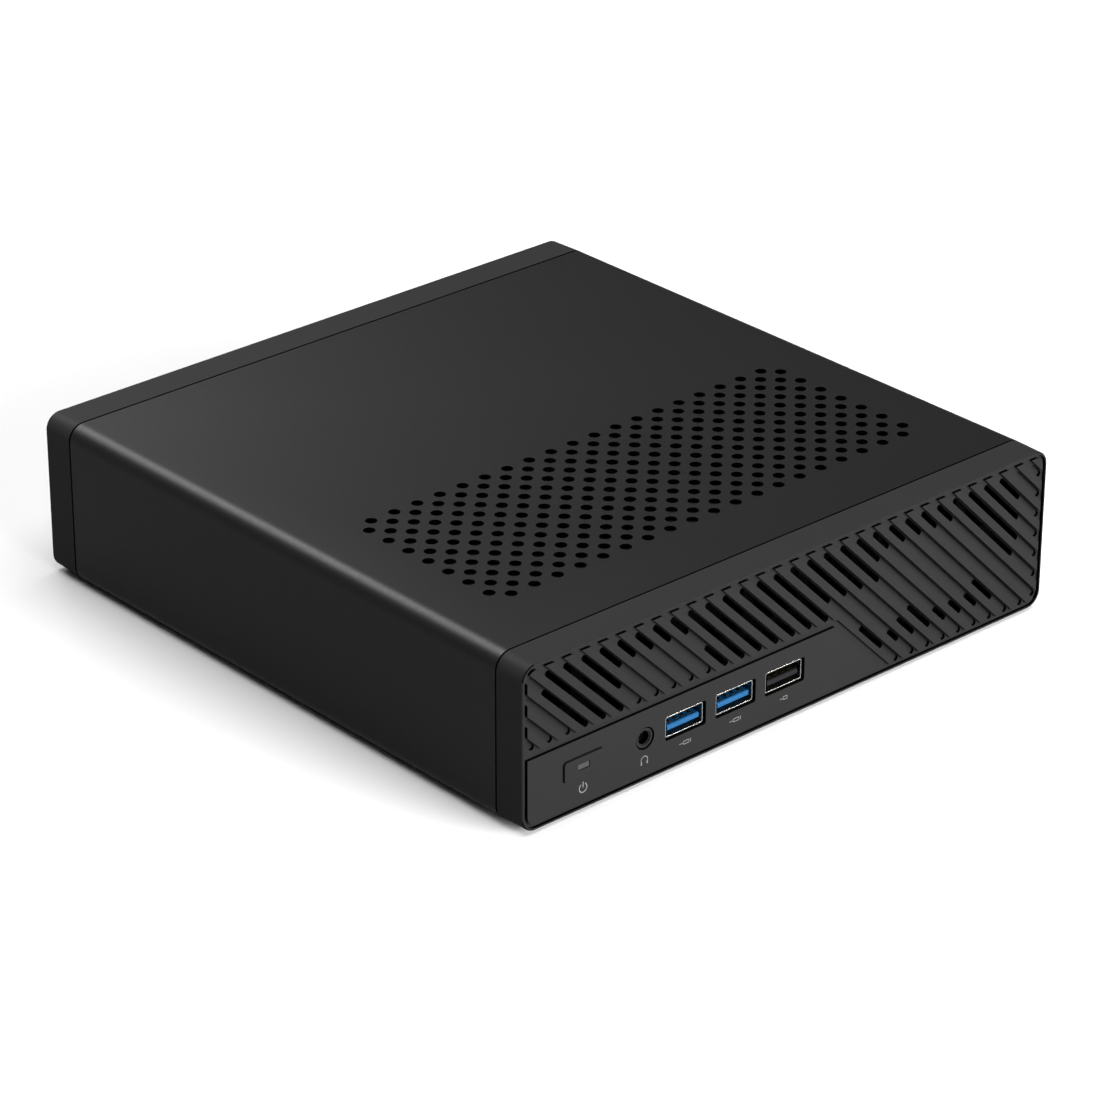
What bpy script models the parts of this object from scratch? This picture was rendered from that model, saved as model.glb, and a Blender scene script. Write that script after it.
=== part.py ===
"""Mini pc: a perforated metal sleeve on rubber feet, and a chassis that slides out of its front.

Frame: metres, +Z up, front face towards -Y, origin at the middle of the footprint.
"""

import math

import bmesh
import bpy
from mathutils import Matrix, Vector

MM = 0.001

# Overall
WIDTH = 189.0 * MM
DEPTH = 196.0 * MM
BODY_HEIGHT = 47.4 * MM
FOOT_DROP = 0.6 * MM
CORNER_RADIUS = 4.8 * MM
GAP = 0.3 * MM
SEAM = 0.35 * MM

# Sleeve
SLEEVE_WALL = 1.2 * MM
FRONT_BAND = 9.26 * MM
REAR_BAND = 11.0 * MM
VENT_DIAMETER = 3.3 * MM
VENT_PITCH_X = 7.83 * MM
VENT_PITCH_Y = 3.92 * MM
VENT_ROWS = 15
VENT_FIRST_ROW = 31.7 * MM
VENT_SIDE_MARGIN = 20.1 * MM
FOOT_DIAMETER = 14.0 * MM
FOOT_INSET = 24.0 * MM
FOOT_SEAT_DEPTH = 0.6 * MM

# Front bezel: rim, base plane, and what stands on the base
RIM_WIDTH = 0.95 * MM
BASE_DEPTH = 0.72 * MM
PANEL_THICKNESS = 2.2 * MM
BEZEL_TAPER = 0.28 * MM
BAND_WALL = 1.8 * MM
BAND_TONGUE = 3.0 * MM
FIELD_INSET = 2.0 * MM
RELIEF_ROOT = 0.35 * MM
GROOVE_PITCH = 6.02 * MM
GROOVE_FIRST = -19.68 * MM
CHANNEL_WIDTH = 3.02 * MM
GROOVE_WIDTH = 1.78 * MM
GROOVE_DEPTH = 0.9 * MM
SLOT_WIDTH = 1.62 * MM
GROOVE_TOP = 5.0 * MM
GROOVE_SIDE = 2.6 * MM
UPPER_FIELD_BASE = 22.6 * MM
SHORT_GROOVE_BASE = 23.65 * MM
LONG_GROOVE_BASE = 2.65 * MM
PAD_TOP = 20.75 * MM
PAD_RIGHT = 109.0 * MM
PAD_CHANNEL = 2.7 * MM
SHORT_GROOVES = 18

# Open stretches of the grooves: first and last groove, then start and end below the body's top.
# None means the groove's own end.
OPEN_RUNS = (
    (3, 3, 10.5, None),
    (4, 5, None, None),
    (6, 6, None, 17.7),
    (7, 7, None, 11.7),
    (8, 11, None, 10.5),
    (11, 11, 17.7, None),
    (12, 17, None, None),
    (18, 21, None, 19.2),
    (22, 22, None, 13.2),
    (23, 27, None, 10.5),
    (28, 28, None, 28.8),
    (29, 29, None, 24.6),
    (30, 30, None, 18.5),
    (31, 31, None, 12.5),
    (18, 18, 31.9, 39.5),
    (19, 19, 36.6, 39.5),
    (20, 20, 34.1, 39.5),
    (21, 21, 31.9, 39.5),
    (22, 24, 35.8, 39.5),
    (25, 25, 32.7, 39.5),
)

# Front controls and sockets: distance from the left side, height above the body's underside
BUTTON_CENTRE = (20.35 * MM, 13.0 * MM)
BUTTON_SIZE = (12.9 * MM, 5.6 * MM)
BUTTON_RADIUS = 0.8 * MM
BUTTON_PROUD = 0.6 * MM
BUTTON_TRAVEL = 0.8 * MM
BUTTON_CLEARANCE = 0.22 * MM
BUTTON_FLANGE = 1.0 * MM
LENS_SIZE = (3.9 * MM, 1.6 * MM)
LENS_DEPTH = 0.9 * MM
LENS_CLEARANCE = 0.12 * MM
AUDIO_CENTRE = (41.6 * MM, 12.65 * MM)
AUDIO_HOLE = 6.3 * MM
AUDIO_NOSE = 5.5 * MM
AUDIO_BORE = 3.7 * MM
AUDIO_RECESS = 0.3 * MM
AUDIO_BLOCK = (6.4 * MM, 11.0 * MM)
AUDIO_END_WALL = 1.0 * MM
FRONT_USB_LEFT = 55.7 * MM
FRONT_USB_PITCH = 17.65 * MM
FRONT_USB_COUNT = 3
FRONT_SOCKET_HEIGHT = 12.55 * MM
SOCKET_RECESS = 0.65 * MM
SOCKET_CLEARANCE = 0.5 * MM
SOCKET_CORNER = 0.2 * MM

# USB type A receptacle
USB_A_SIZE = (13.2 * MM, 5.9 * MM)
USB_A_LENGTH = 17.0 * MM
USB_A_WALL = 0.4 * MM
USB_A_CORNER = 0.6 * MM
USB_A_TONGUE = (11.0 * MM, 1.7 * MM)
USB_A_TONGUE_DROP = 0.65 * MM
USB_A_TONGUE_SETBACK = 0.35 * MM
USB_A_BLOCK = 4.0 * MM

# Power switch on the board
SWITCH_CASE = (6.0 * MM, 4.0 * MM)
SWITCH_STEM = 3.0 * MM

# Chassis
TRAY_SHEET = 1.0 * MM
TRAY_FLANGE = 14.0 * MM
SHIELD_SHEET = 1.0 * MM
FRONT_SHIELD_SETBACK = 7.6 * MM
WINDOW_COUNT = 9
WINDOW_BAR = 4.0 * MM
SWITCH_WINDOW = 5.0 * MM
AUDIO_WINDOW_GAP = 0.6 * MM
STOP_LIP = 2.0 * MM
STOP_OVERLAP = 0.4 * MM
BOARD_THICKNESS = 1.6 * MM
BOARD_TOP = 9.3 * MM
BOARD_SIDE_GAP = 1.5 * MM
BOARD_FRONT = 9.6 * MM
STANDOFF_DIAMETER = 6.0 * MM
SCREW_SHANK = 2.6 * MM
SCREW_HEAD = 5.4 * MM
SCREW_HEAD_HEIGHT = 1.5 * MM
SCREW_HEAD_BEVEL = 0.5 * MM
SCREW_CLEARANCE = 0.3 * MM
SCREW_INSET = 8.0 * MM
SCREW_FRONT = 36.0 * MM
SCREW_REAR = 30.0 * MM

# Cooling
COOLER_LEFT = 17.0 * MM
COOLER_WIDTH = 62.0 * MM
COOLER_HEADROOM = 5.0 * MM
BLOWER_FRONT = 32.0 * MM
BLOWER_WALL = 1.6 * MM
BLOWER_INLET = 44.0 * MM
BLOWER_BASE_LIFT = 4.0 * MM
BLOWER_CORNER = 5.0 * MM
BLOWER_OUTLET = 52.0 * MM
ROTOR_CLEARANCE = 1.2 * MM
ROTOR_BLADES = 22
ROTOR_BLADE_LENGTH = 8.0 * MM
ROTOR_BLADE_THICKNESS = 0.9 * MM
ROTOR_HUB = 26.0 * MM
ROTOR_DISC = 1.0 * MM
ROTOR_SWEEP = 14.0
ROTOR_RIM = 0.2 * MM
HEATSINK_BASE = 3.0 * MM
HEATSINK_FINS = 15
HEATSINK_FIN = 0.8 * MM
HEATSINK_FRONT_GAP = 1.3 * MM
HEATSINK_REAR_GAP = 3.0 * MM
PROCESSOR_SIZE = 37.0 * MM
PROCESSOR_HEIGHT = 2.4 * MM

# Plug-in boards
CARD_GAP = 4.0 * MM
SSD_SIZE = (22.0 * MM, 80.0 * MM)
SSD_THICKNESS = 1.8 * MM
SSD_LIFT = 3.0 * MM
SSD_SOCKET = (21.0 * MM, 7.0 * MM)
MEMORY_SIZE = (30.0 * MM, 69.6 * MM)
MEMORY_THICKNESS = 1.4 * MM
MEMORY_STEP = 5.2 * MM
MEMORY_LIFT = 3.0 * MM
MEMORY_SOCKET_RISE = 2.0 * MM
MEMORY_SOCKET_WIDTH = 6.4 * MM
WIRELESS_SIZE = (30.0 * MM, 22.0 * MM)
WIRELESS_THICKNESS = 1.6 * MM
WIRELESS_LIFT = 2.0 * MM
COIN_CELL_DIAMETER = 20.0 * MM
COIN_CELL_HEIGHT = 3.2 * MM
COIN_CELL_STEP = (1.0 * MM, 0.6 * MM)
COIN_HOLDER_HEIGHT = 1.0 * MM

# Rear panel
REAR_SOCKET_BASE = 0.3 * MM
RJ45_SIZE = (16.0 * MM, 13.4 * MM)
RJ45_LENGTH = 21.0 * MM
RJ45_CAVITY = (11.8 * MM, 8.2 * MM)
RJ45_CAVITY_DEPTH = 14.0 * MM
RJ45_NOTCH = (6.0 * MM, 2.0 * MM)
RJ45_SILL = 1.5 * MM
RJ45_NOTCH_END = 1.0 * MM
USB_C_SIZE = (9.0 * MM, 3.3 * MM)
USB_C_LENGTH = 9.0 * MM
USB_C_LIFT = 1.2 * MM
USB_C_WALL = 0.35 * MM
USB_C_CAVITY_DEPTH = 7.0 * MM
USB_C_TONGUE = (6.6 * MM, 0.8 * MM)
USB_C_TONGUE_SETBACK = 0.6 * MM
HDMI_SIZE = (15.0 * MM, 5.7 * MM)
HDMI_LENGTH = 12.0 * MM
HDMI_WALL = 0.5 * MM
HDMI_STEP = 1.8 * MM
HDMI_CAVITY_DEPTH = 10.0 * MM
HDMI_TONGUE = (11.0 * MM, 0.9 * MM)
HDMI_TONGUE_LIFT = 0.3 * MM
HDMI_TONGUE_SETBACK = 1.0 * MM
DC_SIZE = (9.4 * MM, 11.0 * MM)
DC_LENGTH = 14.0 * MM
DC_BORE = 6.4 * MM
DC_PIN = 2.4 * MM
DC_DEPTH = 9.5 * MM
DC_PIN_SETBACK = 1.5 * MM
REAR_MARGIN = 9.0 * MM
REAR_REACH = 0.8 * MM
REAR_SLOT_WIDTH = 2.6 * MM
REAR_SLOT_PITCH = 5.2 * MM
REAR_SLOT_BASE = 26.5 * MM
REAR_SLOT_TOP_MARGIN = 7.0 * MM
LATCH_PAD = (14.0 * MM, 6.0 * MM)
LATCH_STEM = (9.0 * MM, 3.0 * MM)
LATCH_TRAVEL = 2.5 * MM
LATCH_PLATE = 1.2 * MM
LATCH_FROM_RIGHT = 17.0 * MM
LATCH_BELOW_TOP = 10.5 * MM
LATCH_CORNER = 0.8 * MM

ARC_STEPS = 5
HOLE_SIDES = 6
ROUND_SIDES = 24

FLOOR_Z = FOOT_DROP
TOP_Z = FOOT_DROP + BODY_HEIGHT
FRONT_Y = (BUTTON_PROUD - DEPTH) / 2
REAR_Y = (BUTTON_PROUD + DEPTH) / 2
LEFT_X = -WIDTH / 2
RIGHT_X = WIDTH / 2
SHIELD_FRONT_Y = FRONT_Y + FRONT_SHIELD_SETBACK
SHIELD_REAR_Y = REAR_Y - STOP_LIP - GAP
BAND_BORE = SLEEVE_WALL + GAP + BAND_WALL
SHIELD_INSET = BAND_BORE + GAP
TRAY_INSET = BAND_BORE + (CORNER_RADIUS - BAND_BORE) * (1 - math.sqrt(0.5)) + GAP
TRAY_Z = FLOOR_Z + TRAY_INSET
BOARD_Z = FLOOR_Z + BOARD_TOP
BOARD_FRONT_Y = FRONT_Y + BOARD_FRONT
REAR_MOUTH_Y = SHIELD_REAR_Y + REAR_REACH
TRAY_INNER_LEFT = LEFT_X + TRAY_INSET + TRAY_SHEET
COOLER_TOP_Z = TOP_Z - SLEEVE_WALL - COOLER_HEADROOM


# ---------------------------------------------------------------- outlines

def arc(centre, radius, start, sweep, steps):
    """Points on an arc, angles in degrees, both ends included."""
    points = []
    for i in range(steps + 1):
        angle = math.radians(start + sweep * i / steps)
        points.append((centre[0] + radius * math.cos(angle), centre[1] + radius * math.sin(angle)))
    return points


def circle(centre, diameter, sides):
    """A regular polygon with the area of the circle it stands for."""
    area_ratio = 2 * math.pi / (sides * math.sin(2 * math.pi / sides))
    radius = diameter / 2 * math.sqrt(area_ratio)
    return arc(centre, radius, 0, 360, sides)[:-1]


def rectangle(low, high):
    return [(low[0], low[1]), (high[0], low[1]), (high[0], high[1]), (low[0], high[1])]


def rounded(low, high, radius, steps=ARC_STEPS):
    """A rectangle with round corners, anticlockwise from its lower left corner."""
    x0, y0, x1, y1 = low[0] + radius, low[1] + radius, high[0] - radius, high[1] - radius
    return (
        arc((x0, y0), radius, 180, 90, steps)
        + arc((x1, y0), radius, 270, 90, steps)
        + arc((x1, y1), radius, 0, 90, steps)
        + arc((x0, y1), radius, 90, 90, steps)
    )


def shift(point, dx, dz):
    return (point[0] + dx, point[1] + dz)


def centred(centre, size, radius=0.0, grow=0.0):
    """A rectangle about its centre, with round corners where a radius is given."""
    half = (size[0] / 2 + grow, size[1] / 2 + grow)
    low = (centre[0] - half[0], centre[1] - half[1])
    high = (centre[0] + half[0], centre[1] + half[1])
    if radius:
        return rounded(low, high, radius + grow, 3)
    return rectangle(low, high)


def section(inset):
    """The body's rounded cross-section in X and Z, drawn in from its outer face."""
    radius = max(CORNER_RADIUS - inset, 0.4 * MM)
    return rounded((LEFT_X + inset, FLOOR_Z + inset), (RIGHT_X - inset, TOP_Z - inset), radius)


def clip(points, normal, limit):
    """The part of a convex outline where normal . point is at most limit."""
    kept = []
    for i, point in enumerate(points):
        after = points[(i + 1) % len(points)]
        here = normal[0] * point[0] + normal[1] * point[1] - limit
        there = normal[0] * after[0] + normal[1] * after[1] - limit
        if here <= 0:
            kept.append(point)
        if here * there < 0:
            share = here / (here - there)
            kept.append(shift(point, (after[0] - point[0]) * share, (after[1] - point[1]) * share))
    return kept


def slanted_stadium(start, end, width, steps=3):
    """A slot outline with round ends between two centres."""
    heading = math.degrees(math.atan2(end[1] - start[1], end[0] - start[0]))
    radius = width / 2
    return arc(end, radius, heading - 90, 180, steps) + arc(start, radius, heading + 90, 180, steps)


# ---------------------------------------------------------------- solids

def material(name, colour, roughness, metallic=0.0):
    """A Principled material, made once."""
    found = bpy.data.materials.get(name)
    if found:
        return found
    made = bpy.data.materials.new(name)
    made.use_nodes = True
    shader = made.node_tree.nodes["Principled BSDF"]
    shader.inputs["Base Color"].default_value = (*colour, 1.0)
    shader.inputs["Roughness"].default_value = roughness
    shader.inputs["Metallic"].default_value = metallic
    return made


PAINTED_METAL = ("painted_metal", (0.035, 0.035, 0.037), 0.45, 0.3)
BLACK_PLASTIC = ("black_plastic", (0.045, 0.045, 0.047), 0.5)
DARK_PLASTIC = ("dark_plastic", (0.012, 0.012, 0.013), 0.55)
RUBBER = ("rubber", (0.015, 0.015, 0.015), 0.8)
ZINC_STEEL = ("zinc_steel", (0.55, 0.56, 0.57), 0.35, 1.0)
BRIGHT_STEEL = ("bright_steel", (0.72, 0.72, 0.73), 0.22, 1.0)
ALUMINIUM = ("aluminium", (0.78, 0.79, 0.8), 0.35, 1.0)
BLUE_PLASTIC = ("blue_plastic", (0.02, 0.22, 0.55), 0.4)
BOARD_GREEN = ("circuit_board", (0.01, 0.03, 0.025), 0.4)
CLEAR_PLASTIC = ("clear_plastic", (0.6, 0.62, 0.63), 0.3)

AXIS_FRAMES = {
    "X": Matrix(((0, 0, 1), (1, 0, 0), (0, 1, 0))).to_4x4(),
    "Y": Matrix(((1, 0, 0), (0, 0, -1), (0, 1, 0))).to_4x4(),
    "Z": Matrix.Identity(4),
}


def new_collection(name):
    made = bpy.data.collections.new(name)
    bpy.context.scene.collection.children.link(made)
    return made


def mesh_object(name, mesh, frame, finish):
    """A part, or a cutter where finish is None."""
    made = bpy.data.objects.new(name, mesh)
    made.matrix_world = frame
    if finish is None:
        made.hide_render = True
        made.display_type = "WIRE"
        bpy.data.collections["cutters"].objects.link(made)
    else:
        mesh.materials.append(material(*finish))
        bpy.data.collections["mini_pc"].objects.link(made)
    return made


def prism(name, outlines, low, high, axis="Y", finish=None):
    """Flat outlines, the later ones holes or islands, run along an axis from low to high.

    Outlines are (x, z) along Y, (y, z) along X and (x, y) along Z.
    """
    curve = bpy.data.curves.new(name, "CURVE")
    curve.dimensions = "2D"
    curve.fill_mode = "BOTH"
    curve.extrude = (high - low) / 2
    for outline in outlines:
        spline = curve.splines.new("POLY")
        spline.points.add(len(outline) - 1)
        for point, (u, v) in zip(spline.points, outline):
            point.co = (u, v, 0.0, 1.0)
        spline.use_cyclic_u = True
    drawn = bpy.data.objects.new(name + "_outline", curve)
    bpy.context.scene.collection.objects.link(drawn)
    middle = {"X": Vector((1, 0, 0)), "Y": Vector((0, 1, 0)), "Z": Vector((0, 0, 1))}[axis]
    drawn.matrix_world = Matrix.Translation(middle * (low + high) / 2) @ AXIS_FRAMES[axis]
    bpy.context.view_layer.update()
    seen = drawn.evaluated_get(bpy.context.evaluated_depsgraph_get())
    mesh = bpy.data.meshes.new_from_object(seen)
    work = bmesh.new()
    work.from_mesh(mesh)
    bmesh.ops.remove_doubles(work, verts=work.verts, dist=0.000001)
    bmesh.ops.recalc_face_normals(work, faces=work.faces)
    work.to_mesh(mesh)
    work.free()
    mesh.materials.clear()
    frame = drawn.matrix_world.copy()
    bpy.data.objects.remove(drawn)
    bpy.data.curves.remove(curve)
    return mesh_object(name, mesh, frame, finish)


def loft(name, loops, closed, finish=None):
    """Skin between like sections along Y; closed joins the last to the first, else both are capped."""
    work = bmesh.new()
    rings = [[work.verts.new((x, y, z)) for x, z in outline] for outline, y in loops]
    pairs = list(zip(rings, rings[1:]))
    if closed:
        pairs.append((rings[-1], rings[0]))
    for near, far in pairs:
        for i in range(len(near)):
            j = (i + 1) % len(near)
            work.faces.new((near[i], near[j], far[j], far[i]))
    if not closed:
        work.faces.new(rings[0])
        work.faces.new(rings[-1])
    bmesh.ops.recalc_face_normals(work, faces=work.faces)
    mesh = bpy.data.meshes.new(name)
    work.to_mesh(mesh)
    work.free()
    return mesh_object(name, mesh, Matrix.Identity(4), finish)


def turned(name, profile, place, axis="Z", sides=ROUND_SIDES, finish=None):
    """A profile of (radius, height) from the axis at the top to the axis at the foot, turned round."""
    mesh = bpy.data.meshes.new(name)
    points = [(radius, 0.0, height) for radius, height in profile]
    mesh.from_pydata(points, [(i, i + 1) for i in range(len(points) - 1)], [])
    made = mesh_object(name, mesh, Matrix.Translation(place) @ turn_to(axis), finish)
    screw = made.modifiers.new("turn", "SCREW")
    screw.steps = sides
    screw.render_steps = sides
    screw.use_merge_vertices = True
    screw.merge_threshold = 0.00001
    return made


def turn_to(axis):
    """The rotation that brings +Z to the named direction."""
    turns = {
        "Z": Matrix.Identity(4),
        "-Z": Matrix.Rotation(math.pi, 4, "X"),
        "Y": Matrix.Rotation(-math.pi / 2, 4, "X"),
        "-Y": Matrix.Rotation(math.pi / 2, 4, "X"),
    }
    return turns[axis]


def cut(part, cutter):
    boolean(part, cutter, "DIFFERENCE")


def join(part, addition):
    boolean(part, addition, "UNION")


def boolean(part, other, operation):
    step = part.modifiers.new(operation.lower(), "BOOLEAN")
    step.operation = operation
    step.solver = "EXACT"
    step.object = other


def holder(name, place):
    """An empty that carries a moving group, on its joint's axis."""
    made = bpy.data.objects.new(name, None)
    made.location = place
    made.empty_display_size = 0.01
    bpy.data.collections["mini_pc"].objects.link(made)
    bpy.context.view_layer.update()
    return made


def carry(carrier, parts):
    for part in parts:
        part.parent = carrier
        part.matrix_parent_inverse = carrier.matrix_world.inverted()


# ---------------------------------------------------------------- housing

def vent_columns(row):
    """X positions of one row of top vents; every other row is set off by half a pitch."""
    room = WIDTH - 2 * VENT_SIDE_MARGIN
    most = int(room / VENT_PITCH_X) + 1
    count = most if row % 2 else most - 1
    return [(i - (count - 1) / 2) * VENT_PITCH_X for i in range(count)]


def sleeve():
    low = FRONT_Y + FRONT_BAND + SEAM
    high = REAR_Y - REAR_BAND - SEAM
    made = prism("sleeve", [section(0.0), section(SLEEVE_WALL)], low, high, "Y", PAINTED_METAL)
    holes = []
    for row in range(VENT_ROWS):
        y = FRONT_Y + VENT_FIRST_ROW + row * VENT_PITCH_Y
        holes += [circle((x, y), VENT_DIAMETER, HOLE_SIDES) for x in vent_columns(row)]
    cut(made, prism("top_vents", holes, TOP_Z - 2 * SLEEVE_WALL, TOP_Z + SLEEVE_WALL, "Z"))
    seats = [circle(place, FOOT_DIAMETER + 2 * GAP, ROUND_SIDES) for place in foot_places()]
    cut(made, prism("foot_seats", seats, -SLEEVE_WALL, FLOOR_Z + FOOT_SEAT_DEPTH, "Z"))
    return made


def foot_places():
    x = WIDTH / 2 - FOOT_INSET
    near, far = FRONT_Y + FOOT_INSET, REAR_Y - FOOT_INSET
    return [(-x, near), (x, near), (-x, far), (x, far)]


def feet():
    names = ("foot_front_left", "foot_front_right", "foot_rear_left", "foot_rear_right")
    top = FLOOR_Z + FOOT_SEAT_DEPTH - GAP
    made = []
    for name, (x, y) in zip(names, foot_places()):
        radius = FOOT_DIAMETER / 2
        profile = [(0, top), (radius, top), (radius, GAP), (radius - GAP, 0), (0, 0)]
        made.append(turned(name, profile, Vector((x, y, 0)), "Z", ROUND_SIDES, RUBBER))
    return made


def rear_collar():
    """The plastic band round the sleeve's rear end, with the lip that the chassis stops against."""
    tongue = SLEEVE_WALL + GAP
    opening = SHIELD_INSET + STOP_OVERLAP
    seam_y = REAR_Y - REAR_BAND
    stations = (
        (tongue, seam_y - BAND_TONGUE),
        (tongue, seam_y),
        (0.0, seam_y),
        (BEZEL_TAPER, REAR_Y - BEZEL_TAPER),
        (2 * BEZEL_TAPER, REAR_Y),
        (opening, REAR_Y),
        (opening, REAR_Y - STOP_LIP),
        (BAND_BORE, REAR_Y - STOP_LIP),
        (BAND_BORE, seam_y - BAND_TONGUE),
    )
    return loft("rear_collar", [(section(inset), y) for inset, y in stations], True, BLACK_PLASTIC)


# ---------------------------------------------------------------- front bezel

def groove_line(index):
    """A groove's centre line runs at 45 degrees: from-left minus below-top is this."""
    return GROOVE_FIRST + index * GROOVE_PITCH


def on_line(line, below_top):
    """The point of a 45-degree line at a depth below the body's top."""
    return (LEFT_X + line + below_top, TOP_Z - below_top)


def groove_count():
    return int((WIDTH - GROOVE_FIRST - GROOVE_TOP - GROOVE_SIDE) / GROOVE_PITCH) + 1


def groove_ends(index):
    """Depths below the top where the groove's two round ends are centred."""
    line = groove_line(index)
    start = max(GROOVE_TOP, GROOVE_SIDE - line)
    base = SHORT_GROOVE_BASE if index < SHORT_GROOVES else LONG_GROOVE_BASE
    end = min(BODY_HEIGHT - base, WIDTH - GROOVE_SIDE - line)
    return start, end


def relief_outlines():
    """The slanted ribs and the socket pad that stand on the bezel's base."""
    low = (LEFT_X + FIELD_INSET, FLOOR_Z + FIELD_INSET)
    high = (RIGHT_X - FIELD_INSET, TOP_Z - FIELD_INSET)
    field = rounded(low, high, CORNER_RADIUS - FIELD_INSET)
    slant = (math.sqrt(0.5), math.sqrt(0.5))
    corner = LEFT_X + TOP_Z
    pad_line = PAD_RIGHT - (BODY_HEIGHT - PAD_TOP) + PAD_CHANNEL / 2
    upper_floor = FLOOR_Z + UPPER_FIELD_BASE

    def band(outline, start, end):
        after = clip(outline, (-slant[0], -slant[1]), -(corner + start) * slant[0])
        return clip(after, slant, (corner + end) * slant[0])

    ribs = []
    upper = clip(field, (0, -1), -upper_floor)
    for index in range(1, groove_count() + 1):
        start = groove_line(index - 1) + CHANNEL_WIDTH / 2
        end = groove_line(index) - CHANNEL_WIDTH / 2 if index < groove_count() else WIDTH
        if index < SHORT_GROOVES:
            ribs.append(band(upper, start, end))
        elif index == SHORT_GROOVES:
            ribs.append(band(field, pad_line + PAD_CHANNEL / 2, end))
        else:
            ribs.append(band(field, start, end))
    pad = clip(field, (0, 1), FLOOR_Z + PAD_TOP)
    pad = clip(pad, slant, (corner + pad_line - PAD_CHANNEL / 2) * slant[0])
    return [rib for rib in ribs if len(rib) > 2] + [pad]


def open_runs():
    """The stretches of groove that go right through, as outlines."""
    runs = []
    for first, last, start_mm, end_mm in OPEN_RUNS:
        for index in range(first, min(last, groove_count() - 1) + 1):
            start, end = groove_ends(index)
            if start_mm is not None:
                start = max(start, start_mm * MM)
            if end_mm is not None:
                end = min(end, end_mm * MM)
            if end - start > SLOT_WIDTH:
                line = groove_line(index)
                runs.append(slanted_stadium(on_line(line, start), on_line(line, end), SLOT_WIDTH))
    return runs


def front_bezel():
    """The moulded front: a band with a rim, a set-back base, ribs, a socket pad and grooves."""
    base_y = FRONT_Y + BASE_DEPTH
    back_y = base_y + PANEL_THICKNESS
    seam_y = FRONT_Y + FRONT_BAND
    tongue = SLEEVE_WALL + GAP
    stations = (
        (RIM_WIDTH, base_y),
        (RIM_WIDTH, FRONT_Y),
        (2 * BEZEL_TAPER, FRONT_Y),
        (BEZEL_TAPER, FRONT_Y + BEZEL_TAPER),
        (0.0, seam_y),
        (tongue, seam_y),
        (tongue, seam_y + BAND_TONGUE),
        (BAND_BORE, seam_y + BAND_TONGUE),
        (BAND_BORE, back_y),
    )
    made = loft("front_bezel", [(section(inset), y) for inset, y in stations], False, BLACK_PLASTIC)
    join(made, prism("ribs_and_pad", relief_outlines(), FRONT_Y, base_y + RELIEF_ROOT))
    grooves = []
    for index in range(groove_count()):
        start, end = groove_ends(index)
        line = groove_line(index)
        grooves.append(slanted_stadium(on_line(line, start), on_line(line, end), GROOVE_WIDTH))
    cut(made, prism("grooves", grooves, FRONT_Y, base_y + GROOVE_DEPTH))
    cut(made, prism("open_grooves", open_runs(), FRONT_Y + BASE_DEPTH / 2, back_y + GAP))
    openings = [centred(from_left(BUTTON_CENTRE), BUTTON_SIZE, BUTTON_RADIUS, BUTTON_CLEARANCE)]
    openings.append(circle(from_left(AUDIO_CENTRE), AUDIO_HOLE, ROUND_SIDES))
    for x in front_usb_positions():
        openings.append(usb_opening(x))
    cut(made, prism("front_openings", openings, FRONT_Y - GAP, back_y + GAP))
    return made


def from_left(place):
    """World (x, z) of a place given from the left side and above the underside."""
    return (LEFT_X + place[0], FLOOR_Z + place[1])


def usb_opening(x):
    """The hole that a front USB shell stands in."""
    return centred((x, FLOOR_Z + FRONT_SOCKET_HEIGHT), USB_A_SIZE, SOCKET_CORNER, SOCKET_CLEARANCE)


def front_usb_positions():
    return [LEFT_X + FRONT_USB_LEFT + i * FRONT_USB_PITCH for i in range(FRONT_USB_COUNT)]


def power_button():
    """A cap that stands proud of the pad, held by a flange behind the panel."""
    face_y = FRONT_Y - BUTTON_PROUD
    flange_y = FRONT_Y + BASE_DEPTH + PANEL_THICKNESS + GAP
    centre = from_left(BUTTON_CENTRE)
    outline = centred(centre, BUTTON_SIZE, BUTTON_RADIUS)
    cap = prism("power_button", [outline], face_y, flange_y + BUTTON_FLANGE / 2, "Y", BLACK_PLASTIC)
    flange = centred(centre, BUTTON_SIZE, BUTTON_RADIUS, BUTTON_FLANGE)
    join(cap, prism("button_flange", [flange], flange_y, flange_y + BUTTON_FLANGE))
    pocket = centred(centre, LENS_SIZE, 0.0, LENS_CLEARANCE)
    cut(cap, prism("lens_pocket", [pocket], face_y - GAP, face_y + LENS_DEPTH + GAP))
    lens = prism("power_light", [centred(centre, LENS_SIZE)], face_y, face_y + LENS_DEPTH, "Y", CLEAR_PLASTIC)
    return [cap, lens]


# ---------------------------------------------------------------- sockets

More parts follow.
